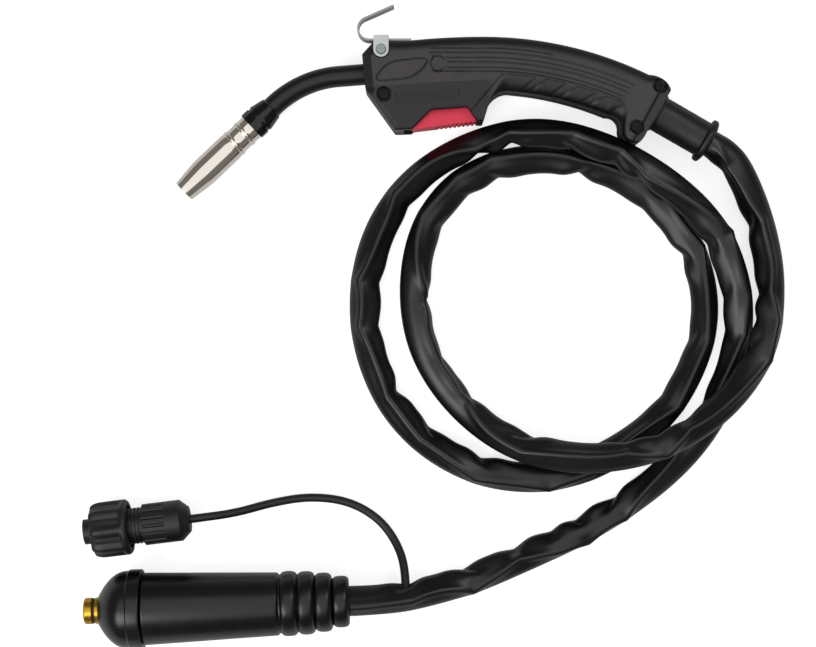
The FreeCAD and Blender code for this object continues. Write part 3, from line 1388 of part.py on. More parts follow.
insert = turned("pin_insert_plain", [
    ("insert_at", "0"),
    ("insert_at", "insert_radius"),
    ("insert_at + insert_length", "insert_radius"),
    ("insert_at + insert_length", "0"),
], CONTROL)
del PARTS["pin_insert_plain"]
pins, ways = [], []
for number in range(CONTACT_COUNT):
    x, y, z, yaw = along(CONTROL, "0")
    across = f"contact_circle_radius * cos({number} * 360 / {CONTACT_COUNT})"
    rise = f"contact_circle_radius * sin({number} * 360 / {CONTACT_COUNT})"
    lane = (f"{x} - ({across}) * sin({yaw})", f"{y} + ({across}) * cos({yaw})", f"{z} + {rise}", yaw)
    pins.append(rod(f"contact_{number}", lane, "insert_at - contact_tail",
                    "insert_at + insert_length + contact_reach", "contact_radius"))
    ways.append(rod(f"contact_way_{number}", lane, "insert_at - 1", "insert_at + insert_length + 1",
                    "contact_radius + neck_fit / 2"))
PARTS["pin_insert"] = difference("pin_insert", insert, joined("contact_ways", ways))
document.recompute()
loose("contact_pins", Part.makeCompound([one.Shape.copy() for one in pins]))

# Hose: from the support tube round two loose loops, over itself twice, and into the boot
hose_route = [
    hose_start,
    spot_on(SUPPORT, "support_length + hose_lead"),
    (151, -60, 15.5), (165, -92, 11), (171, -130, 12), (164, -168, 22.5), (140, -202, 27), (101, -226, 27),
    (60, -232, 27), (21, -225, 18), (-12, -203, 9), (-35, -171, 8), (-42, -134, 8), (-36, -97, 8),
    (-15, -68, 8), (17, -54, 8), (52, -53, 8), (84, -64, 8), (112, -87, 8), (130, -119, 8), (133, -155, 8),
    (119, -191, 8), (94, -219, 8), (59, -239, 8), (19, -244, 8), (-19, -233, 8), (-49, -208, 8),
    (-67, -172, 8), (-71, -135, 8), (-63, -97, 8), (-42, -66, 8), (-10, -45.5, 11), (28, -37, 17),
    (68, -46, 22.5), (105, -66, 22.5), (135, -93, 20), (151, -130, 16), (151, -171, 8), (137, -207, 8),
    (110, -240, 8), (73, -267, 8), (26, -290, 8), (-10, -304, 11), (-42, -311.5, 20),
    spot_on(PLUG, "0 - boot_lead"),
    spot_on(PLUG, "boot_seat_depth"),
]
cable("hose", hose_route, size("hose_radius"))

# Control cable: out of the gland nut, down to the floor, and up into the side of the hose
control_route = [
    spot_on(CONTROL, "gland_dome_length + seal_length"),
    (-168, -266, 16.4), (-146, -263.5, 11), (-125, -258, 4.5), (-103, -254.5, 2.5), (-80, -257, 2.5),
    (-62, -267, 2.5), (-51, -281, 5.5), (-45.5, -296, 13), (-45.5, -309, 19),
]
cable("control_cable", control_route, size("control_cable_radius"))

document.recompute()
for thing in document.Objects:
    failed = {"Invalid", "Error"} & set(thing.State)
    assert not failed, f"{thing.Label} did not build: {thing.State}"
for label, piece in PARTS.items():
    shape = piece.Shape
    assert not shape.isNull() and shape.isValid(), f"{label} has a faulty shape"
    assert shape.Solids and shape.Volume > 0, f"{label} has no solid"

os.makedirs("parts", exist_ok=True)
for label, piece in PARTS.items():
    piece.Shape.exportStep(f"parts/{label}.step")
print(len(PARTS), "parts written")
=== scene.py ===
import math

import bpy
import numpy as np
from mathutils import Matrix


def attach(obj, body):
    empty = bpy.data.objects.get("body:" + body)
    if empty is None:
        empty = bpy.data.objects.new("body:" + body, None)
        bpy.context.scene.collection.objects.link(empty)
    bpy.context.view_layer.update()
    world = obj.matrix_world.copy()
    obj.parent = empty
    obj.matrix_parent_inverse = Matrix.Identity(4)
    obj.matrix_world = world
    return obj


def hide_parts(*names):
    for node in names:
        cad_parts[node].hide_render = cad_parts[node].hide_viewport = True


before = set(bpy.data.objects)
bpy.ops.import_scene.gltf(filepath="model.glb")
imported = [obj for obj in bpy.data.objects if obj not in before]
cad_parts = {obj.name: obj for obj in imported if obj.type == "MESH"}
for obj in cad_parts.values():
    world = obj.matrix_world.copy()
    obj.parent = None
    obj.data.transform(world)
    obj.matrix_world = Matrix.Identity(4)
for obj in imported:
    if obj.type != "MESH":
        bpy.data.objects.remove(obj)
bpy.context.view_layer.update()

# Studio: the camera looks straight down from a little over a metre on a white table. A soft key lamp stands
# at the near left, a weaker one at the far right, and a wide panel overhead lights all of the table.


def linear(code):
    """An sRGB hex colour as linear red, green and blue with alpha 1."""
    parts = np.array([int(code[start:start + 2], 16) for start in (1, 3, 5)]) / 255
    return (*np.where(parts <= 0.04045, parts / 12.92, ((parts + 0.055) / 1.055) ** 2.4), 1.0)


def add(tree, kind, settings=None, **links):
    """Add one node, set its properties, and fill its inputs with values or with another node's output."""
    node = tree.nodes.new(kind)
    for name, value in (settings or {}).items():
        setattr(node, name, value)
    for name, value in links.items():
        socket = node.inputs[int(name[1:])] if name[1:].isdigit() else node.inputs[name.replace("_", " ")]
        if isinstance(value, bpy.types.NodeSocket):
            tree.links.new(value, socket)
        else:
            socket.default_value = value
    return node


def new_material(name):
    """An empty material and its node tree."""
    material = bpy.data.materials.new(name)
    material.use_nodes = True
    material.node_tree.nodes.clear()
    return material, material.node_tree


scene = bpy.context.scene
scene.view_settings.view_transform = "Standard"
PICTURE_WIDTH = 816
SENSOR_WIDTH = 36
FOCAL_PIXELS = 1842
CAMERA_SPOT = (-0.04412, -0.15147, 1.10)
camera_data = bpy.data.cameras.new("camera")
camera_data.sensor_width = SENSOR_WIDTH
camera_data.lens = FOCAL_PIXELS / PICTURE_WIDTH * SENSOR_WIDTH
camera = bpy.data.objects.new("camera", camera_data)
camera.location = CAMERA_SPOT
scene.collection.objects.link(camera)
scene.camera = camera

# Each lamp: its name, place, width in metres and power in watts. All are round and aim at the torch.
LAMP_AIM = (0.0, -0.15, 0.0)
LAMPS = [
    ("key_lamp", (-0.75, -0.75, 1.10), 0.8, 6.0),
    ("side_lamp", (0.75, 0.55, 1.20), 0.7, 3.0),
    ("ceiling", (-0.15, -0.20, 1.60), 2.4, 12.0),
]
for name, spot, width, power in LAMPS:
    lamp_data = bpy.data.lights.new(name, "AREA")
    lamp_data.shape = "DISK"
    lamp_data.size = width
    lamp_data.energy = power
    lamp = bpy.data.objects.new(name, lamp_data)
    lamp.location = spot
    aim = np.array(LAMP_AIM) - np.array(spot)
    lamp.rotation_euler = (math.atan2(math.hypot(aim[0], aim[1]), -aim[2]), 0, math.atan2(-aim[0], aim[1]))
    scene.collection.objects.link(lamp)

# Room: the camera sees plain white. The torch is lit by a dim grey room, and its shiny pieces mirror a
# warm one.
world = bpy.data.worlds.new("pale_room")
world.use_nodes = True
world.node_tree.nodes.clear()
rays = add(world.node_tree, "ShaderNodeLightPath")
seen = add(world.node_tree, "ShaderNodeMath", {"operation": "MAXIMUM"}, _0=rays.outputs["Is Camera Ray"],
           _1=rays.outputs["Is Transmission Ray"])
room = add(world.node_tree, "ShaderNodeBackground", Color=linear("#b9bbbf"), Strength=0.07)
white = add(world.node_tree, "ShaderNodeBackground", Color=(1, 1, 1, 1), Strength=1.0)
sky = add(world.node_tree, "ShaderNodeMixShader", _0=seen.outputs[0], _1=room.outputs[0], _2=white.outputs[0])
shine = add(world.node_tree, "ShaderNodeBackground", Color=linear("#e8e4dd"), Strength=0.22)
around = add(world.node_tree, "ShaderNodeMixShader", _0=rays.outputs["Is Glossy Ray"], _1=sky.outputs[0],
             _2=shine.outputs[0])
add(world.node_tree, "ShaderNodeOutputWorld", Surface=around.outputs[0])
scene.world = world

# Table: white card. It glows a little for the camera alone, so it shows nearly white and still takes the
# torch's soft shadow.
TABLE_REACH = 3
card, tree = new_material("white_card")
rays = add(tree, "ShaderNodeLightPath")
paper = add(tree, "ShaderNodeBsdfDiffuse", Color=linear("#f4f4f4"))
glow = add(tree, "ShaderNodeEmission", Color=(1, 1, 1, 1), Strength=0.72)
lift = add(tree, "ShaderNodeMixShader", _0=rays.outputs["Is Camera Ray"], _2=glow.outputs[0])
both = add(tree, "ShaderNodeAddShader", _0=paper.outputs[0], _1=lift.outputs[0])
add(tree, "ShaderNodeOutputMaterial", Surface=both.outputs[0])
table_mesh = bpy.data.meshes.new("table")
corners = [(across * TABLE_REACH, up * TABLE_REACH, 0)
           for across, up in ((-1, -1), (1, -1), (1, 1), (-1, 1))]
table_mesh.from_pydata(corners, [], [(0, 1, 2, 3)])
table = bpy.data.objects.new("table", table_mesh)
table_mesh.materials.append(card)
scene.collection.objects.link(table)

# Hose: a soft black sleeve of thin vinyl drawn over the power cable. It is wider than the cable, so it
# creases: along each bend it is pinched on the inner side, and a long fold wanders over its top.
MM = 0.001


def route_line(name, points):
    """The points in millimetres as a NURBS spline of order 3 that ends on its first and last point."""
    data = bpy.data.curves.new(name, "CURVE")
    data.dimensions = "3D"
    data.resolution_u = 24
    spline = data.splines.new("NURBS")
    spline.points.add(len(points) - 1)
    spline.points.foreach_set("co", np.hstack([np.array(points) * MM, np.ones((len(points), 1))]).ravel())
    spline.order_u = 3
    spline.use_endpoint_u = True
    holder = bpy.data.objects.new(name, data)
    mesh = bpy.data.meshes.new_from_object(holder)
    line = np.empty(len(mesh.vertices) * 3)
    mesh.vertices.foreach_get("co", line)
    bpy.data.objects.remove(holder)
    return line.reshape(-1, 3)


def even_steps(line, count):
    """The same line cut into equal steps, with the length along it at each step."""
    reach = np.concatenate([[0], np.cumsum(np.linalg.norm(np.diff(line, axis=0), axis=1))])
    keep = np.concatenate([[True], np.diff(reach) > 1e-7])
    along = np.linspace(0, reach[-1], count)
    return np.column_stack([np.interp(along, reach[keep], line[keep, axis]) for axis in range(3)]), along


def tube_grid(line, radius, angles):
    """Rings round a line: at each step, radius times (cosine * left + sine * up), across the heading."""
    heading = np.gradient(line, axis=0)
    heading /= np.linalg.norm(heading, axis=1, keepdims=True)
    left = np.cross([0, 0, 1], heading)
    left /= np.linalg.norm(left, axis=1, keepdims=True)
    up = np.cross(heading, left)
    rings = np.cos(angles)[None, :, None] * left[:, None, :] + np.sin(angles)[None, :, None] * up[:, None, :]
    return line[:, None, :] + radius[..., None] * rings


def surface(name, grid, material, ring=False):
    """
    A closed mesh from a grid of points whose second direction goes all the way round. Its two ends
    are closed with a fan to their middle, or, for a ring, the last row is joined to the first.
    """
    rows, around = grid.shape[:2]
    row = np.arange(rows if ring else rows - 1)[:, None]
    column = np.arange(around)[None, :]
    after, beside = (row + 1) % rows, (column + 1) % around
    quads = np.stack([row * around + column, row * around + beside, after * around + beside,
                      after * around + column], axis=-1).reshape(-1, 4)
    points = grid.reshape(-1, 3)
    faces = quads.tolist()
    if not ring:
        points = np.vstack([points, grid[0].mean(axis=0), grid[-1].mean(axis=0)])
        first, last = rows * around, rows * around + 1
        tail = (rows - 1) * around
        column, beside = column.ravel(), beside.ravel()
        faces += np.column_stack([beside, column, np.full(around, first)]).tolist()
        faces += np.column_stack([tail + column, tail + beside, np.full(around, last)]).tolist()
    mesh = bpy.data.meshes.new(name)
    mesh.from_pydata(points.tolist(), [], faces)
    mesh.polygons.foreach_set("use_smooth", np.ones(len(faces), dtype=bool))
    mesh.materials.append(material)
    mesh.update()
    piece = bpy.data.objects.new(name, mesh)
    scene.collection.objects.link(piece)
    return piece


def wander(along, spacing, seed):
    """A smooth random line between -1 and 1: random values every spacing, joined by cosine steps."""
    knots = np.random.default_rng(seed).uniform(-1, 1, int(along[-1] / spacing) + 3)
    place = along / spacing
    index = place.astype(int)
    blend = (1 - np.cos((place - index) * math.pi)) / 2
    return knots[index] * (1 - blend) + knots[index + 1] * blend


def ridge(angle, middle, width):
    """A rounded fold round the tube: 1 at its middle angle, falling off as exp(-(turn / width) squared)."""
    turn = (angle - middle + math.pi) % (2 * math.pi) - math.pi
    return np.exp(-(turn / width) ** 2)


def creased_radius(along, angles, radius, spacing, seed):
    """
    The sleeve's radius. Four folds run along it: over the top, under it, and at both sides. Where the
    sleeve is pinched on its inner side (half a turn), the top fold swings outwards to a point and dies
    back over 14 mm, and the inner fold sinks by the pinch, which is deep in the middle and 5.5 mm long each
    way. The last 5 mm at both ends stay round, and the folds come in over the next 9 mm.
    """
    # Where the sleeve is pinched: never evenly, and not close to its ends.
    random = np.random.default_rng(seed)
    gaps = random.uniform(0.45, 1.85, int(along[-1] / spacing) + 4) * spacing
    pinches = np.cumsum(gaps)
    pinches = pinches[(pinches > 14 * MM) & (pinches < along[-1] - 22 * MM)]
    depth = random.uniform(0.12, 0.44, len(pinches))
    swing = random.uniform(0.3, 1.15, len(pinches)) * random.choice([1, 1, -0.6], len(pinches))
    lean = random.uniform(-9, 9, len(pinches)) * MM
    # The middle angle of each fold, counted from the left side over the top. The loops bend to the right, so
    # their inner side is at half a turn.
    away = along[:, None] - pinches[None, :]
    point = np.exp(-np.abs(away) / (14 * MM))
    top = math.radians(96) + 0.38 * wander(along, 46 * MM, seed + 1) - (point * swing).sum(axis=1)
    inner = math.radians(178) + 0.30 * wander(along, 33 * MM, seed + 2)
    outer = math.radians(2) + 0.22 * wander(along, 52 * MM, seed + 3)
    under = math.radians(272) + 0.35 * wander(along, 38 * MM, seed + 4)
    # Between the folds the sleeve sinks to 0.83 of its radius.
    angle = angles[None, :]
    shape = 0.83 + 0.20 * ridge(angle, top[:, None], 0.30) + 0.13 * ridge(angle, top[:, None], 0.85)
    shape += (0.26 + 0.07 * wander(along, 40 * MM, seed + 5)[:, None]) * ridge(angle, inner[:, None], 0.62)
    shape += (0.22 + 0.05 * wander(along, 60 * MM, seed + 6)[:, None]) * ridge(angle, outer[:, None], 0.75)
    shape += 0.10 * ridge(angle, under[:, None], 0.8)
    shape *= 1 + 0.07 * wander(along, 75 * MM, seed + 7)[:, None]
    # Each pinch is a slanting valley with a low shoulder before and behind it.
    for middle, deep, slant in zip(pinches, depth, lean):
        off = along[:, None] - middle - slant * (angle - math.pi)
        valley = np.exp(-(np.abs(off) / (5.5 * MM)) ** 1.4)
        shape -= deep * valley * ridge(angle, math.radians(168), 0.75)
        shoulder = np.exp(-((np.abs(off) - 11 * MM) / (6 * MM)) ** 2)
        shape += 0.22 * deep * shoulder * ridge(angle, math.radians(165), 0.7)
    ends = np.minimum(along, along[-1] - along)
    calm = np.clip((ends - 5 * MM) / (9 * MM), 0, 1)[:, None]
    calm = calm * calm * (3 - 2 * calm)
    return radius * (1 + (shape - 1) * calm)


# The sleeve's control points in millimetres, from the support tube round the loops to the power plug.
HOSE_ROUTE = [
    (129.80, -43.38, 16.5), (140.19, -49.38, 16.5), (151, -60, 15.5), (165, -92, 11), (171, -130, 12),
    (164, -168, 22.5), (140, -202, 27), (101, -226, 27), (60, -232, 27), (21, -225, 18), (-12, -203, 9),
    (-35, -171, 8), (-42, -134, 8), (-36, -97, 8), (-15, -68, 8), (17, -54, 8), (52, -53, 8), (84, -64, 8),
    (112, -87, 8), (130, -119, 8), (133, -155, 8), (119, -191, 8), (94, -219, 8), (59, -239, 8),
    (19, -244, 8), (-19, -233, 8), (-49, -208, 8), (-67, -172, 8), (-71, -135, 8), (-63, -97, 8),
    (-42, -66, 8), (-10, -45.5, 11), (28, -37, 17), (68, -46, 22.5), (105, -66, 22.5), (135, -93, 20),
    (151, -130, 16), (151, -171, 8), (137, -207, 8), (110, -240, 8), (73, -267, 8), (26, -290, 8),
    (-10, -304, 11), (-42, -311.5, 20), (-64.51, -313.27, 23.2), (-90.49, -314.25, 23.2),
]
HOSE_RADIUS = 8 * MM
HOSE_STEPS = 1250
HOSE_TURNS = 72
PINCH_SPACING = 34 * MM
CREASE_SEED = 11
TABLE_GAP = 0.25 * MM
hose_path = route_line("hose_route", HOSE_ROUTE)
hose_line, hose_along = even_steps(hose_path, HOSE_STEPS)
ring_angles = np.linspace(0, 2 * math.pi, HOSE_TURNS, endpoint=False)
hose_shape = creased_radius(hose_along, ring_angles, HOSE_RADIUS, PINCH_SPACING, CREASE_SEED)
hose_grid = tube_grid(hose_line, hose_shape, ring_angles)
hose_grid[..., 2] = np.maximum(hose_grid[..., 2], TABLE_GAP)

# Thin black vinyl, rolled smooth. It shows a low broad sheen and a few rubbed spots.
vinyl, tree = new_material("black_vinyl_sleeve")
where = add(tree, "ShaderNodeTexCoord")
cloudy = add(tree, "ShaderNodeTexNoise", Vector=where.outputs["Object"], Scale=55.0, Detail=3.0)
rubbed = add(tree, "ShaderNodeValToRGB", Fac=cloudy.outputs["Fac"])
rubbed.color_ramp.elements[0].position = 0.35
rubbed.color_ramp.elements[0].color = linear("#070709")
rubbed.color_ramp.elements[1].position = 0.75
rubbed.color_ramp.elements[1].color = linear("#0f0f12")
sheen_range = add(tree, "ShaderNodeMapRange", Value=cloudy.outputs["Fac"], To_Min=0.27, To_Max=0.40)
skin = add(tree, "ShaderNodeTexNoise", Vector=where.outputs["Object"], Scale=900.0, Detail=4.0)
skin_bump = add(tree, "ShaderNodeBump", Height=skin.outputs["Fac"], Strength=0.10, Distance=0.0002)
vinyl_surface = add(tree, "ShaderNodeBsdfPrincipled", Base_Color=rubbed.outputs["Color"],
                    Roughness=sheen_range.outputs["Result"], IOR=1.53, Normal=skin_bump.outputs["Normal"])
add(tree, "ShaderNodeOutputMaterial", Surface=vinyl_surface.outputs[0])

hose = surface("hose_sleeve", hose_grid, vinyl)
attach(hose, "torch")
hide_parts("hose")

# Control cable: a thin round cable with a smooth black jacket. It leaves the hose through a slit near the
# power plug, lies on the table in one bend, and rises into the control plug. The route runs from that plug.
CONTROL_ROUTE = [
    (-189.47, -268.61, 16.4), (-168, -266, 16.4), (-146, -263.5, 11), (-125, -258, 4.5), (-103, -254.5, 2.5),
    (-80, -257, 2.5), (-62, -267, 2.5), (-51, -281, 5.5), (-45.5, -296, 13), (-45.5, -309, 19),
]
CABLE_RADIUS = 2.5 * MM
CABLE_STEPS = 260
CABLE_TURNS = 28

# Black cable jacket, drawn smooth, a little duller than the vinyl.
jacket, tree = new_material("smooth_cable_jacket")
where = add(tree, "ShaderNodeTexCoord")
mottle = add(tree, "ShaderNodeTexNoise", Vector=where.outputs["Object"], Scale=120.0, Detail=3.0)
dull = add(tree, "ShaderNodeMapRange", Value=mottle.outputs["Fac"], To_Min=0.36, To_Max=0.50)
tint = add(tree, "ShaderNodeMix", {"data_type": "RGBA"}, _0=mottle.outputs["Fac"], _6=linear("#0b0b0d"),
           _7=linear("#131316"))
jacket_surface = add(tree, "ShaderNodeBsdfPrincipled", Base_Color=tint.outputs[2],
                     Roughness=dull.outputs["Result"], IOR=1.5)
add(tree, "ShaderNodeOutputMaterial", Surface=jacket_surface.outputs[0])
cable_path = route_line("control_route", CONTROL_ROUTE)
cable_line, _ = even_steps(cable_path, CABLE_STEPS)
cable_angles = np.linspace(0, 2 * math.pi, CABLE_TURNS, endpoint=False)
cable_shape = np.full((CABLE_STEPS, CABLE_TURNS), CABLE_RADIUS)
control_cable = surface("control_cable_jacket", tube_grid(cable_line, cable_shape, cable_angles), jacket)
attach(control_cable, "torch")
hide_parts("control_cable")

# Handle: two moulded shells of charcoal nylon that meet at half the thickness. The upper face is grained and
# carries long bars, a leaf panel and ribs; the nose is bevelled, and the grip's long edges are rounded.
# Its sizes are in millimetres, with x along the head and y up the picture; the grip bends about (0, -204).
THICKNESS = 33.0
HALF = THICKNESS / 2
WALL = 2.4
GRIP_RADIUS = 204.0
GRIP_END = GRIP_RADIUS * math.radians(30)


def arc_between(start, end, middle, steps=24):
    """Points on the short arc about a middle, from start to end."""
    start, end, middle = np.array(start), np.array(end), np.array(middle)
    first, last = start - middle, end - middle
    turn = (math.atan2(last[1], last[0]) - math.atan2(first[1], first[0]) + math.pi) % (2 * math.pi) - math.pi
    angle = math.atan2(first[1], first[0]) + turn * np.linspace(0, 1, steps)
    return middle + np.hypot(*first) * np.column_stack([np.cos(angle), np.sin(angle)])


def unroll(points):
    """
    Plan points as (station, offset): x and y in the head, and in the grip the arc length and the distance
    from the arc.
    """
    x, y = points[:, 0], points[:, 1]
    reach = np.hypot(x, y + GRIP_RADIUS)
    station = np.where(x > 0, np.arctan2(x, y + GRIP_RADIUS) * GRIP_RADIUS, x)
    return station, np.where(x > 0, reach - GRIP_RADIUS, y)


def roll(station, offset):
    """The way back from (station, offset) to plan points."""
    turn = np.maximum(station, 0) / GRIP_RADIUS
    x = np.where(station > 0, (offset + GRIP_RADIUS) * np.sin(turn), station)
    return x, np.where(station > 0, (offset + GRIP_RADIUS) * np.cos(turn) - GRIP_RADIUS, offset)


def away_from(x, y, points):
    """Distance to the nearest line between two points in turn, and whether a place lies inside their ring."""
    nearest = np.full(x.shape, 1e9)
    inside = np.zeros(x.shape, dtype=bool)
    for (ax, ay), (bx, by) in zip(points, points[1:]):
        along_x, along_y = bx - ax, by - ay
        share = np.clip(((x - ax) * along_x + (y - ay) * along_y) / (along_x ** 2 + along_y ** 2), 0, 1)
        nearest = np.minimum(nearest, np.hypot(x - ax - share * along_x, y - ay - share * along_y))
        crosses = ((ay > y) != (by > y)) & (x < ax + along_x * (y - ay) / (by - ay + 1e-12))
        inside ^= crosses
    return nearest, inside


def cut_corners(ring, times=2):
    """A closed ring with each corner cut twice, which leaves a smooth outline."""
    ring = np.array(ring[:-1])
    for _ in range(times):
        after = np.roll(ring, -1, axis=0)
        ring = np.stack([0.75 * ring + 0.25 * after, 0.25 * ring + 0.75 * after], axis=1).reshape(-1, 2)
    return np.vstack([ring, ring[:1]])


def step(value, start, end):
    """0 before start, 1 after end, smooth between."""
    share = np.clip((value - start) / (end - start), 0, 1)
    return share * share * (3 - 2 * share)


def rounded(distance, reach, drop):
    """How far a rounded edge lies below the face, at a distance from the outline."""
    share = np.clip(1 - distance / reach, 0, 1)
    return drop * (1 - np.sqrt(1 - share ** 2))


# The outline in two lines, both from the nose to the rear: under the trigger and the grip, and over the back.
FOOT_LINE = np.vstack([
    [(-70.9, 5.1), (-68.9, -15.2), (-51.7, -39.2), (-41.9, -38.8), (-30.8, -27.6), (-9.8, -25.9),
     (-3.4, -33.6), (-0.1, -33.6)],
    arc_between((3.20, -23.00), (16.43, -16.22), (14.11, -27.99)),
    arc_between((16.43, -16.22), (72.14, -29.85), (0, -204)),
    arc_between((72.14, -29.85), (79.90, -37.56), (72.94, -36.80)),
    arc_between((79.90, -37.56), (90.72, -45.87), (88.50, -37.56)),
    [(92.25, -44.22)],
])
TOP_LINE = np.vstack([
    [(-70.9, 5.1), (-64.5, 12.2)],
    arc_between((-40.9, 13.5), (0, 15.5), (-0.06, -402.5)),
    arc_between((0, 15.5), (96.22, -6.71), (0, -204)),
    arc_between((96.22, -6.71), (108.75, -15.64), (96.40, -19.71)),
])
SHELL_SCREWS = [(-58.1, -18.4), (102.0, -13.7), (88.5, -37.56)]
RECESS_RADIUS, RECESS_DEPTH = 4.2, 3.0

# The face's details: a leaf panel, a half hexagon, six long grooves (offset, start, end) with two sunk bars
# between them, four pads under the grip (start, end), and the ridge that ends the head's raised face.
LEAF = cut_corners([(-63.9, -10.8), (-59.1, -3.1), (-53.1, 0.6), (-43.6, 2.0), (-34.1, 2.7), (-32.5, 0.8),
                    (-35.5, -3.7), (-39.5, -7.1), (-43.6, -9.0), (-53.7, -10.1), (-63.9, -10.8)])
HEXAGON = [(-31.2, 0.0), (-29.0, 3.8), (-25.2, 4.0), (-22.4, 1.0), (-22.8, -3.6), (-26.0, -5.4),
           (-29.3, -4.6), (-31.2, 0.0)]
GROOVES = [(8.3, -32.0, 40.0), (5.8, -32.0, 88.0), (2.9, -22.6, 86.0), (0.3, -22.0, 86.5),
           (-2.8, -22.4, 85.0), (-5.0, -30.0, 86.0)]
SUNK_BARS = [(2.9, 5.8), (-2.8, 0.3)]
PADS = [(11.2, 31.6), (37.4, 50.0), (56.4, 69.0), (74.5, 87.4)]
PAD_TOP, PAD_LEAN = -6.4, 0.9
RIDGE_FRONT, RIDGE_REAR = (-64.5, -13.4), (3.0, -9.8)
RIB_START, RIB_LENGTH, RIB_PITCH = -51.0, 36.6, 1.31
REAR_GROOVE = 5.0
GROOVE_HALF_WIDTH = 0.42


def face_relief(x, y, station, offset):
    """
    How deep the face's details are sunk, and how rough and how light in tone the face is there (0 to 1):
    lighter on the grained faces, with painted shade in the grooves. Each line is a groove whose depth falls
    off as exp(-(distance / half width) squared).
    """
    # The leaf panel and the hexagon: a groove round a slightly raised field, open at the hexagon's right.
    depth = np.zeros(x.shape)
    leaf_gap, in_leaf = away_from(x, y, LEAF)
    depth += 0.55 * np.exp(-(leaf_gap / GROOVE_HALF_WIDTH) ** 2) - 0.12 * in_leaf
    hexagon_gap, in_hexagon = away_from(x, y, HEXAGON)
    left = (x < -23.2) | (y > 3.2)
    depth += 0.5 * np.exp(-(hexagon_gap / GROOVE_HALF_WIDTH) ** 2) * left - 0.15 * in_hexagon
    # The long grooves along the handle, and the two bars between them.
    for middle, start, end in GROOVES:
        reach = step(station, start, start + 1.5) * (1 - step(station, end - 2, end))
        depth += 0.5 * reach * np.exp(-((offset - middle) / GROOVE_HALF_WIDTH) ** 2)
    bars = step(station, -31, -28) * (1 - step(station, 84, 87))
    for low, high in SUNK_BARS:
        depth += 0.18 * bars * step(offset, low, low + 0.4) * (1 - step(offset, high - 0.4, high))
    # The pads along the grip: slanting fields, raised a little, with a groove along the top and both sides.
    for start, end in PADS:
        lean = station + (PAD_TOP - offset) * PAD_LEAN
        below = step(-offset, -PAD_TOP - 0.2, -PAD_TOP + 0.4)
        edge = np.exp(-((offset - PAD_TOP) / 0.4) ** 2) * (lean > start) * (lean < end)
        sides = np.exp(-((lean - start) / 0.5) ** 2) + np.exp(-((lean - end) / 0.5) ** 2)
        depth += 0.45 * edge + 0.35 * sides * below
        depth -= 0.25 * below * step(lean, start, start + 1) * (1 - step(lean, end - 1, end))
    # The side of the head below the ridge lies lower, and carries a patch of fine ribs.
    slope = (RIDGE_REAR[1] - RIDGE_FRONT[1]) / (RIDGE_REAR[0] - RIDGE_FRONT[0])
    under = RIDGE_FRONT[1] + slope * (x - RIDGE_FRONT[0]) - y
    head = 1 - step(station, 1, 9)
    depth += head * (0.35 * step(under, 0, 0.8) + 0.012 * np.maximum(under, 0))
    across = (x - RIB_START) / RIB_LENGTH
    ribs = (across > 0) & (across < 1) & (y < -17.2 + 2.7 * across) & (y > -24.6 + 3.3 * across)
    depth += 0.22 * ribs * (0.5 + 0.5 * np.cos(x * 2 * math.pi / RIB_PITCH))
    # The groove before the rear end, and the lower strip behind it.
    end_gap = GRIP_END - station
    depth += 0.8 * np.exp(-((end_gap - REAR_GROOVE) / 0.55) ** 2) + 0.25 * step(-end_gap, -4.6, -4.0)
    # The lower side of the head, the ribs and the strip at the rear are darker, and every drawn line is
    # darkened as painted shade.
    painted_groove_shade = np.exp(-(leaf_gap / 0.5) ** 2) + np.exp(-(hexagon_gap / 0.5) ** 2) * left
    for middle, start, end in GROOVES:
        painted_groove_shade += np.exp(-((offset - middle) / GROOVE_HALF_WIDTH) ** 2) * (station > start) * (station < end)
    painted_groove_shade += np.exp(-((end_gap - REAR_GROOVE) / 0.7) ** 2)
    pale_face_and_painted_shade = (1 - 0.9 * head * step(under, 0, 0.6)) * (1 - 0.75 * ribs) * (1 - 0.85 * np.minimum(painted_groove_shade, 1))
    pale_face_and_painted_shade = pale_face_and_painted_shade * (1 - 0.7 * step(-end_gap, -5.0, -4.2))
    return depth, pale_face_and_painted_shade


def nose_bevel(x, y):
    """The flat bevels round the nose: wide at the front, narrow along the slope below it."""
    front, _ = away_from(x, y, [(-64.5, 12.2), (-70.9, 5.1), (-68.9, -15.2)])
    slope, _ = away_from(x, y, [(-68.9, -15.2), (-51.7, -39.2)])
    return np.maximum(3.4 * np.clip(1 - front / 5.4, 0, 1), 1.5 * np.clip(1 - slope / 2.4, 0, 1))


NECK_BORE, NECK_MOUTH, NECK_SLOPE = 6.3, (-70.9, -5.1), math.radians(4.5)
TUBE_BORE, TUBE_MOUTH, TUBE_SLOPE = 9.5, (102, -27.33), math.radians(-30)


def parting_height(x, y, station):
    """The upper shell's lowest height: the parting plane, raised over the bores of neck and hose support."""
    height = np.zeros(x.shape)
    for bore, mouth, slope, there in ((NECK_BORE, NECK_MOUTH, NECK_SLOPE, station < -50),
                                      (TUBE_BORE, TUBE_MOUTH, TUBE_SLOPE, station > 85)):
        aside = (y - mouth[1]) * math.cos(slope) - (x - mouth[0]) * math.sin(slope)
        height = np.maximum(height, np.sqrt(np.maximum(bore ** 2 - aside ** 2, 0)) * there)
    return HALF + height


# Room inside the shells for the trigger: its two ends, and how far it reaches in from the foot line and up
# from the parting plane.
TRIGGER_ROOM = (-46.5, -4.8)
TRIGGER_ROOM_DEPTH, TRIGGER_ROOM_HEIGHT = 13, 10.6
# Places down a column in millimetres, from the top line and from the foot line: close together at the edges.
NEAR_EDGE = np.array([0.25, 0, 0, 0.12, 0.4, 0.9, 1.5, 2.3, 3.3, 4.4, 5.6])
FAR_EDGE = np.array([4.4, 3.3, 2.3, 1.5, 0.9, 0.4, 0.12, 0, 0, 0.25])
FACE_ROWS = 84


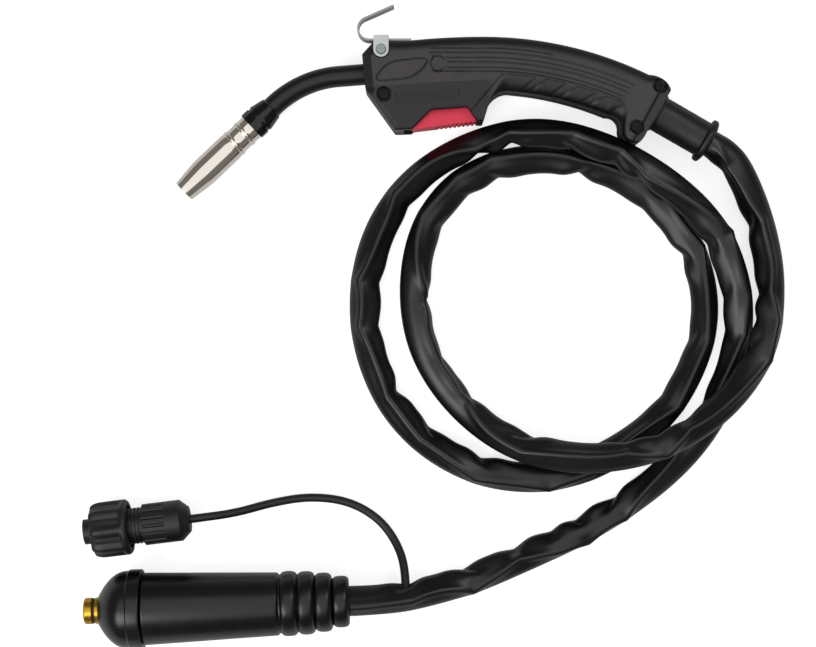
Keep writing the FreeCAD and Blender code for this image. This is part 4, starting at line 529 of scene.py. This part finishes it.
def handle_shell(name, upper, material):
    """
    One shell. Columns run across the handle from the top line to the foot line, each with two rows on the
    outer wall, the face, and the same places on the inside, one wall further in.
    """
    # Places of the columns and rows: closer at the nose and over both edges, and squeezed where it is narrow.
    stations = np.concatenate([np.linspace(-70.86, -69.0, 9), np.linspace(-68.7, 5, 246),
                               np.linspace(5.5, GRIP_END, 186)])[:, None]
    top = np.interp(stations, *unroll(TOP_LINE))
    foot = np.interp(stations, *unroll(FOOT_LINE))
    depth = top - foot
    squeeze = np.clip(depth / 14, 0.02, 1)
    edge = NEAR_EDGE[-1]
    middle = np.linspace(0, 1, FACE_ROWS)[None, 1:-1]
    down = np.hstack([NEAR_EDGE * squeeze, edge * squeeze + middle * (depth - 2 * edge * squeeze),
                      depth - edge * squeeze, depth - FAR_EDGE * squeeze])
    rows = down.shape[1]
    offset = top - down
    station = np.repeat(stations, rows, axis=1)
    x, y = roll(station, offset)
    from_top, from_foot = down, depth - down
    # Edges: crisp round the trigger's housing, the nose and the rear end, and well rounded along the grip.
    housing = 1 - step(station, 3, 15)
    ends = step(station, 88, 98)
    foot_reach = 1.2 + 9.0 * (1 - housing) * (1 - ends)
    foot_drop = 1.0 + 5.0 * (1 - housing) * (1 - ends)
    top_reach = 1.2 + 6.3 * step(station, -62, -52) * (1 - 0.5 * step(station, 96, 104))
    top_drop = 1.0 + 4.6 * step(station, -62, -52) * (1 - 0.5 * step(station, 96, 104))
    # The outer face: the flat side less its rounded edges, the nose's bevels and the details.
    relief, pale_face_and_painted_shade = face_relief(x, y, station, offset)
    face = THICKNESS - rounded(from_top, top_reach, top_drop) - rounded(from_foot, foot_reach, foot_drop)
    fade = step(np.minimum(from_top, from_foot), 0.2, 1.2)
    bevel = nose_bevel(x, y)
    face -= bevel + relief * fade
    # Painted shade: the face's tone is darkened on the nose's bevels.
    pale_face_and_painted_shade = pale_face_and_painted_shade * (1 - 0.85 * step(bevel, 0.1, 0.5))
    for screw_x, screw_y in SHELL_SCREWS:
        away = np.hypot(x - screw_x, y - screw_y)
        sunk = step(-away, -RECESS_RADIUS, 0.25 - RECESS_RADIUS)
        face = face * (1 - sunk) + (THICKNESS - RECESS_DEPTH) * sunk
    # The slot that the hook's strip stands in: it has a round foot and widens to the front on its way up.
    swing = np.maximum(y - 7.8, 0) / 9.3 * 2.6
    slot = (x > -65.0 - swing) & (x < -54.6) & (y > 7.8) | (np.hypot(x + 59.8, y - 7.8) < 5.2)
    face = np.where(slot, np.minimum(face, THICKNESS - 2.8), face)
    # Painted shade: the tone is darkened towards the outline, over the rounded edges and the rim rows, so
    # they show dark.
    pale_face_and_painted_shade = pale_face_and_painted_shade * step(from_top, top_reach * 0.55, top_reach) * step(from_foot, foot_reach * 0.5, foot_reach)
    # The inner face: it follows the outer one a wall further in, and drops to the parting plane at the rim.
    base = parting_height(x, y, station)
    trigger_room = (x > TRIGGER_ROOM[0]) & (x < TRIGGER_ROOM[1]) & (from_foot < TRIGGER_ROOM_DEPTH)
    base = np.where(trigger_room, np.maximum(base, HALF + TRIGGER_ROOM_HEIGHT), base)
    wall = (from_top < WALL) | (from_foot < WALL) | (station > GRIP_END - 2.6) | (station < -67.5)
    wall &= ~trigger_room
    inner = np.where(wall, base, np.maximum(base, np.minimum(THICKNESS - WALL, face - WALL / 2)))
    outer = face.copy()
    outer[:, [0, -1]] = base[:, [0, -1]]
    outer[:, [1, -2]] = base[:, [1, -2]] + 0.35
    inner[:, [0, -1]] = base[:, [0, -1]]
    if not upper:
        outer, inner = np.maximum(THICKNESS - outer, 0), THICKNESS - inner
    # Faces: the outside, the inside turned round, and a strip that closes each end.
    columns = len(stations)
    index = np.arange(columns * rows).reshape(columns, rows)
    hidden = index + columns * rows
    hidden[:, 0], hidden[:, -1] = index[:, 0], index[:, -1]
    outside = np.stack([index[:-1, :-1], index[:-1, 1:], index[1:, 1:], index[1:, :-1]], axis=-1)
    inside = np.stack([hidden[:-1, :-1], hidden[1:, :-1], hidden[1:, 1:], hidden[:-1, 1:]], axis=-1)
    quads = [outside.reshape(-1, 4), inside.reshape(-1, 4)]
    for end, order in ((0, [0, 1, 2, 3]), (-1, [0, 3, 2, 1])):
        strip = np.stack([index[end, :-1], hidden[end, :-1], hidden[end, 1:], index[end, 1:]], axis=-1)
        quads.append(strip[:, order])
    quads = np.vstack(quads)
    if not upper:
        quads = quads[:, ::-1]
    points = np.vstack([np.stack([x, y, outer], axis=-1).reshape(-1, 3),
                        np.stack([x, y, inner], axis=-1).reshape(-1, 3)]) * MM
    # Where inside and outside share a rim point, a quad has fewer corners.
    faces = [list(dict.fromkeys(quad)) for quad in quads.tolist()]
    mesh = bpy.data.meshes.new(name)
    mesh.from_pydata(points.tolist(), [], [face_points for face_points in faces if len(face_points) > 2])
    mesh.validate()
    # Each outer point's tone, 0 to 1: lighter on the grained faces, and lowered as painted shade over edges,
    # bevels and grooves; the inner points get 0.
    grain_tone_and_painted_shade = mesh.attributes.new("grain_tone_and_painted_shade", "FLOAT", "POINT")
    grain_tone_and_painted_shade.data.foreach_set("value", np.concatenate([pale_face_and_painted_shade.ravel(), np.zeros(pale_face_and_painted_shade.size)]))
    mesh.polygons.foreach_set("use_smooth", np.ones(len(mesh.polygons), dtype=bool))
    mesh.set_sharp_from_angle(angle=math.radians(38))
    mesh.materials.append(material)
    mesh.update()
    piece = bpy.data.objects.new(name, mesh)
    scene.collection.objects.link(piece)
    return piece


# Charcoal nylon from a spark-grained mould: dark and satin on sunk panels, and paler and duller on the raised
# grained faces. The dark, satin tint is also laid on edges, bevels and grooves as painted shade.
charcoal, tree = new_material("charcoal_nylon")
where = add(tree, "ShaderNodeTexCoord")
grain_tone_and_painted_shade = add(tree, "ShaderNodeAttribute", {"attribute_name": "grain_tone_and_painted_shade"})
cloudy = add(tree, "ShaderNodeTexNoise", Vector=where.outputs["Object"], Scale=70.0, Detail=5.0,
             Roughness=0.6)
smooth_black_and_painted_shade = add(tree, "ShaderNodeMix", {"data_type": "RGBA"}, _0=cloudy.outputs["Fac"], _6=linear("#050506"),
           _7=linear("#0a0a0c"))
light = add(tree, "ShaderNodeMix", {"data_type": "RGBA"}, _0=cloudy.outputs["Fac"], _6=linear("#373435"),
            _7=linear("#494546"))
shade = add(tree, "ShaderNodeMix", {"data_type": "RGBA"}, _0=grain_tone_and_painted_shade.outputs["Fac"], _6=smooth_black_and_painted_shade.outputs[2],
            _7=light.outputs[2])
dull = add(tree, "ShaderNodeMapRange", Value=grain_tone_and_painted_shade.outputs["Fac"], To_Min=0.46, To_Max=0.60)
grain = add(tree, "ShaderNodeTexNoise", Vector=where.outputs["Object"], Scale=1500.0, Detail=3.0)
grain_bump = add(tree, "ShaderNodeBump", Height=grain.outputs["Fac"], Strength=0.30, Distance=0.0002)
charcoal_surface = add(tree, "ShaderNodeBsdfPrincipled", Base_Color=shade.outputs[2],
                       Roughness=dull.outputs["Result"], IOR=1.53, Normal=grain_bump.outputs["Normal"])
add(tree, "ShaderNodeOutputMaterial", Surface=charcoal_surface.outputs[0])

for shell_name, upper in (("handle_shell_upper", True), ("handle_shell_lower", False)):
    shell = handle_shell(shell_name + "_moulding", upper, charcoal)
    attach(shell, "torch")
    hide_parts(shell_name)

# Nozzle: a pressed steel sleeve with two rolled ridges and a tapered mouth, plated with bright nickel. It
# pushes over the collar, where a short wound spring grips it.


def finish_of(name, tints, gloss, metal=0.0, clouds=90.0, grain=900.0, bump=0.1):
    """
    A material that mixes two close tints by a soft noise, varies its roughness over the range gloss with the
    same noise, and has a fine grain. Clouds and grain are the two noises' scales, per metre.
    """
    material, tree = new_material(name)
    where = add(tree, "ShaderNodeTexCoord")
    cloudy = add(tree, "ShaderNodeTexNoise", Vector=where.outputs["Object"], Scale=clouds, Detail=4.0)
    tint = add(tree, "ShaderNodeMix", {"data_type": "RGBA"}, _0=cloudy.outputs["Fac"], _6=linear(tints[0]),
               _7=linear(tints[1]))
    dull = add(tree, "ShaderNodeMapRange", Value=cloudy.outputs["Fac"], From_Min=0.3, From_Max=0.7,
               To_Min=gloss[0], To_Max=gloss[1])
    fine = add(tree, "ShaderNodeTexNoise", Vector=where.outputs["Object"], Scale=grain, Detail=3.0)
    relief = add(tree, "ShaderNodeBump", Height=fine.outputs["Fac"], Strength=bump, Distance=0.0001)
    surface_shader = add(tree, "ShaderNodeBsdfPrincipled", Base_Color=tint.outputs[2], Metallic=metal,
                         Roughness=dull.outputs["Result"], IOR=1.5, Normal=relief.outputs["Normal"])
    add(tree, "ShaderNodeOutputMaterial", Surface=surface_shader.outputs[0])
    return material


def dress(material, *names):
    """Give the pieces that are carried over as they are in the CAD their material."""
    for name in names:
        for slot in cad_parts[name].material_slots:
            slot.link = "OBJECT"
            slot.material = material


def round_axis(origin, yaw, place, radius, angles):
    """Points round a level axis: origin + place * forward + radius * (cosine * left + sine * up)."""
    heading = math.radians(yaw)
    forward = np.array([math.cos(heading), math.sin(heading), 0])
    left = np.array([-math.sin(heading), math.cos(heading), 0])
    rings = np.cos(angles)[..., None] * left + np.sin(angles)[..., None] * np.array([0, 0, 1])
    return np.array(origin) + place[..., None] * forward + radius[..., None] * rings


def turned_piece(name, origin, yaw, profile, material, turns=120):
    """A turned piece along a yawed axis, from its closed profile (distance along, radius) in millimetres."""
    angles = np.linspace(0, 2 * math.pi, turns, endpoint=False)[None, :]
    profile = np.array(profile)
    grid = round_axis(origin, yaw, profile[:, 0, None], profile[:, 1, None], angles)
    piece = surface(name, grid * MM, material, ring=True)
    piece.data.set_sharp_from_angle(angle=math.radians(35))
    return piece


def softened(corners, steps=5):
    """A profile whose corners (distance, radius, reach) are rounded by a parabola over their reach."""
    points = []
    spots = [np.array(corner[:2], dtype=float) for corner in corners]
    for number, (_, _, reach) in enumerate(corners):
        here, before, after = spots[number], spots[number - 1], spots[(number + 1) % len(spots)]
        if reach == 0:
            points.append(here)
            continue
        back = min(reach, 0.45 * np.linalg.norm(before - here)) / np.linalg.norm(before - here)
        ahead = min(reach, 0.45 * np.linalg.norm(after - here)) / np.linalg.norm(after - here)
        start, end = here + (before - here) * back, here + (after - here) * ahead
        for share in np.linspace(0, 1, steps):
            points.append((1 - share) ** 2 * start + 2 * share * (1 - share) * here + share ** 2 * end)
    return points


NOZZLE_ORIGIN, NOZZLE_YAW = (-124.27, -24.56, 16.5), 223.6
NOZZLE_START = 16.3
NOZZLE_PROFILE = [
    (0, 7.95, 0.3), (4.6, 7.75, 0.8), (5.0, 8.35, 0.4), (6.3, 8.4, 0.4), (6.8, 7.85, 0.8), (12.6, 7.75, 1.4),
    (13.2, 8.5, 0.4), (14.6, 8.55, 0.4), (15.1, 8.05, 0.5), (17.5, 8.45, 1.2), (39.8, 8.45, 3.0),
    (54.9, 6.7, 0.3), (55.1, 6.3, 0.3), (54.9, 5.5, 0.2), (40.0, 6.95, 3.0), (0, 6.95, 0),
]
sleeve_profile = softened([(place + NOZZLE_START, radius, reach) for place, radius, reach in NOZZLE_PROFILE])

# Bright nickel plate: nearly a mirror, a little warm.
nickel = finish_of("bright_nickel", ("#e6ded4", "#f0eae2"), (0.08, 0.14), metal=1.0, clouds=60, bump=0.02)
# Drawn spring wire, bare and greyish.
wound_steel = finish_of("wound_steel", ("#6d6f72", "#86888b"), (0.30, 0.42), metal=1.0, grain=1500)
sleeve = turned_piece("gas_nozzle_sleeve", NOZZLE_ORIGIN, NOZZLE_YAW, sleeve_profile, nickel)
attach(sleeve, "nozzle")
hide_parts("gas_nozzle")
dress(wound_steel, "nozzle_spring")

# Neck: a bent copper tube in a black sleeve, with the insulating collar at its front. Inside the nozzle it
# holds the brass tip holder and the copper contact tip, and the wound wire liner runs through it.

# Glossy black phenolic, pressed in a polished mould.
gloss_black = finish_of("gloss_black_phenolic", ("#040405", "#09090b"), (0.13, 0.20), bump=0.03)
# Satin black heat-shrunk sleeve.
sleeve_black = finish_of("neck_sleeve_satin", ("#08080a", "#101012"), (0.30, 0.40), clouds=140)
# Machined brass with fine tool marks.
brass = finish_of("machined_brass", ("#b8891c", "#d4a73a"), (0.22, 0.34), metal=1.0, grain=1500, bump=0.15)
# Copper, turned or drawn, slightly dulled by air.
copper = finish_of("copper", ("#b0643c", "#c47a52"), (0.28, 0.40), metal=1.0, grain=1300)
dress(gloss_black, "insulating_collar")
dress(sleeve_black, "neck_sheath")
dress(brass, "tip_holder")
dress(copper, "contact_tip", "neck_tube")
dress(wound_steel, "wire_liner")

# Inside the handle: the brass block that joins neck and cable, the crimp on the cable's end, and the power
# cable in its dull rubber.

# Soft matt black rubber, as extruded.
seal_rubber = finish_of("seal_rubber", ("#0c0c0d", "#141416"), (0.55, 0.68), grain=1500)
dress(brass, "power_block")
dress(copper, "cable_crimp")
dress(seal_rubber, "cable_in_handle")

# Trigger and switch: a red nylon trigger on a steel pin, pushed out by a small wound spring. It works the
# plunger of a black microswitch, whose two leads run back into the hose.

# Bright red nylon, moulded with a fine grain.
trigger_red = finish_of("trigger_red_nylon", ("#ff2a4a", "#ff4a66"), (0.42, 0.55), grain=700, bump=0.2)
# Steel with black zinc plate, oiled.
black_zinc = finish_of("black_zinc", ("#161618", "#28282b"), (0.16, 0.28), metal=0.9, grain=1600)
# Hard black switch housing.
switch_black = finish_of("switch_black", ("#0d0d0f", "#161618"), (0.35, 0.48), grain=1200)
# Red plunger of the switch, darker than the trigger.
plunger_red = finish_of("switch_plunger_red", ("#9c1a22", "#b02a32"), (0.38, 0.5), grain=1200)
# Dark insulation of the leads.
lead_skin = finish_of("lead_insulation", ("#15161a", "#202126"), (0.40, 0.52), grain=1400)
dress(trigger_red, "trigger")
dress(black_zinc, "trigger_pin")
dress(wound_steel, "trigger_spring")
dress(switch_black, "switch_body")
dress(plunger_red, "switch_plunger")
dress(lead_skin, "switch_leads")

# Hook: a bent strip of bare spring steel that swings on its saddle, a bright zinc-plated bracket held by two
# screws. The shells' own screws are black.

# Spring steel strip, bare, with a soft rolled sheen.
strip_steel = finish_of("spring_steel_strip", ("#8d8d8c", "#adadac"), (0.26, 0.38), metal=1.0, grain=1400)
# Bright zinc plate.
bright_zinc = finish_of("bright_zinc", ("#b4b7ba", "#cfd2d4"), (0.24, 0.36), metal=1.0, grain=1600)
# Blue-grey zinc plate of the small screws.
screw_zinc = finish_of("screw_zinc", ("#7f8c8c", "#a3adad"), (0.20, 0.32), metal=1.0, grain=1600)
dress(strip_steel, "hook")
dress(bright_zinc, "hook_saddle")
dress(screw_zinc, "hook_screws")
dress(black_zinc, "shell_screws")

# Hose support: a satin nylon tube out of the handle, with a rounded flange near its end that stops the
# sleeve.
SUPPORT_ORIGIN, SUPPORT_YAW = (102.0, -27.33, 16.5), -30
SUPPORT_PROFILE = [
    (-15, 7.95, 0), (-15, 9.35, 0), (0, 9.4, 0), (0, 11.5, 0.4), (1.6, 11.5, 0.4), (1.7, 10.6, 0.3),
    (31.2, 10.5, 0.6), (31.6, 12.9, 0.7), (32.6, 13.35, 0.9), (34.4, 13.35, 0.9), (35.3, 12.2, 0.8),
    (36.1, 9.6, 0.4), (36.1, 8.05, 0),
]
# Black nylon, satin, with a fine mould grain.
support_black = finish_of("support_black_nylon", ("#101012", "#17171a"), (0.38, 0.50), grain=1200, bump=0.2)
support = turned_piece("hose_support_tube", SUPPORT_ORIGIN, SUPPORT_YAW, softened(SUPPORT_PROFILE),
                       support_black)
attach(support, "torch")
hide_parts("hose_support")

# Power plug's boot: moulded rubber with four rounded bellows rings towards the hose and a body that widens
# to the nose. It slips over the cable socket.


def bellows_ring(start, width, radius, depth):
    """The domed outline of one bellows ring: a flattened half ellipse over its width."""
    place = np.linspace(-0.97, 0.97, 17)
    height = (1 - np.abs(place) ** 2.6) ** 0.42
    return [(start + width * (spot + 1) / 2, radius - depth + depth * high, 0)
            for spot, high in zip(place, height)]


PLUG_ORIGIN, PLUG_YAW = (-78.5, -313.8, 23.2), 182.15
BELLOWS_RADII = (15.0, 17.2, 18.4, 18.9)
BELLOWS_PITCH, BELLOWS_WIDTH, BELLOWS_DEPTH = 10.1, 9.6, 2.6
boot_profile = []
for number, radius in enumerate(BELLOWS_RADII):
    boot_profile += bellows_ring(BELLOWS_PITCH * number, BELLOWS_WIDTH, radius, BELLOWS_DEPTH)
boot_profile += [
    (40.6, 17.0, 0.3), (41.6, 18.3, 0.9), (119.2, 21.0, 0.8), (120.3, 20.2, 0.3), (120.3, 12.1, 0),
    (90.4, 12.1, 0), (90.4, 5.7, 0), (12.0, 5.7, 0), (12.0, 8.3, 0), (0.3, 8.3, 0.4), (0.0, 10.5, 0.8),
]
# Deep black rubber with a moulded sheen.
boot_rubber = finish_of("boot_rubber", ("#010102", "#030304"), (0.26, 0.36), grain=1100, bump=0.12)
boot = turned_piece("plug_boot_moulding", PLUG_ORIGIN, PLUG_YAW, softened(boot_profile), boot_rubber)
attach(boot, "torch")
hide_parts("plug_boot")

# Power plug's nose: a hard black moulding with a low lip, then a dome down to the brass pin. Behind the pin
# are its seal, the brass socket with its set screws, and the cable's end.
DOME_START, DOME_LENGTH, DOME_RADIUS, DOME_FALL = 128.6, 17.4, 22.5, 13.6
nose_profile = [(120.4, 21.2, 0), (120.45, 22.9, 0.3), (121.2, 23.15, 0.5), (127.6, 23.15, 0.5),
                (128.2, 22.5, 0.5)]
for share in np.linspace(0.12, 1, 20):
    nose_profile.append((DOME_START + DOME_LENGTH * share, DOME_RADIUS - DOME_FALL * share ** 2.3, 0))
nose_profile += [(146.0, 7.75, 0), (139.0, 7.75, 0), (139.0, 12.1, 0), (120.4, 12.1, 0)]
# Hard black plastic with a moderate shine.
nose_black = finish_of("nose_black_plastic", ("#070709", "#0c0c0f"), (0.24, 0.34), grain=1000)
nose = turned_piece("plug_nose_moulding", PLUG_ORIGIN, PLUG_YAW, softened(nose_profile), nose_black)
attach(nose, "torch")
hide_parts("plug_nose")
dress(brass, "power_pin", "cable_socket")
dress(black_zinc, "set_screws")
dress(seal_rubber, "cable_in_plug", "pin_seal")

# Control plug: a round black nylon plug with a gland nut and silvered pins. Its coupling ring turns freely,
# and has eight rounded lobes for the fingers and a domed front edge.
CONTROL_ORIGIN, CONTROL_YAW = (-172.4, -266.5, 16.4), 187.06
RING_START, RING_END = 35.4, 57.6
RING_RADIUS, RING_BORE = 16.3, 12.85
LOBE_COUNT, LOBE_DEPTH = 8, 1.9
FRONT_FALL, BACK_FALL = 2.6, 1.4


def lobed_ring(name, material, rows=44, turns=240):
    """The ring: its outline's radius is cut in by the eighth cosine, sharpened, and shrinks to both ends."""
    along = np.linspace(0, 1, rows)[:, None]
    angles = np.linspace(0, 2 * math.pi, turns, endpoint=False)[None, :]
    front = np.clip((along - 0.70) / 0.30, 0, 1)
    back = np.clip(1 - along / 0.10, 0, 1)
    body = RING_RADIUS - FRONT_FALL * (1 - np.sqrt(1 - front ** 2 * 0.98)) - BACK_FALL * back ** 2
    lobes = np.clip(1.25 * np.cos(LOBE_COUNT * angles) - 0.15, -0.75, 1) * 0.5 + 0.5
    grip = np.clip((along - 0.12) / 0.10, 0, 1)
    outer = body - LOBE_DEPTH * (1 - lobes) * grip
    radius = np.vstack([outer, np.full((2, turns), RING_BORE)])
    place = np.repeat(RING_START + (RING_END - RING_START) * along, turns, axis=1)
    place = np.vstack([place, np.full((1, turns), RING_END), np.full((1, turns), RING_START)])
    grid = round_axis(CONTROL_ORIGIN, CONTROL_YAW, place, radius, angles)
    piece = surface(name, grid * MM, material, ring=True)
    piece.data.set_sharp_from_angle(angle=math.radians(50))
    return piece


# Black nylon of the plug, satin, with a fine mould grain.
plug_black = finish_of("control_plug_nylon", ("#121316", "#1b1c20"), (0.40, 0.52), grain=1300, bump=0.18)
# Silver plate of the contact pins.
contact_silver = finish_of("contact_silver", ("#bfc1c4", "#d3d5d8"), (0.18, 0.28), metal=1.0, grain=1500)
lobed = lobed_ring("coupling_ring_moulding", plug_black)
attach(lobed, "coupling_ring")
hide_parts("coupling_ring")
dress(plug_black, "gland_nut", "control_plug_body", "pin_insert")
dress(contact_silver, "contact_pins")
dress(seal_rubber, "cable_seal")
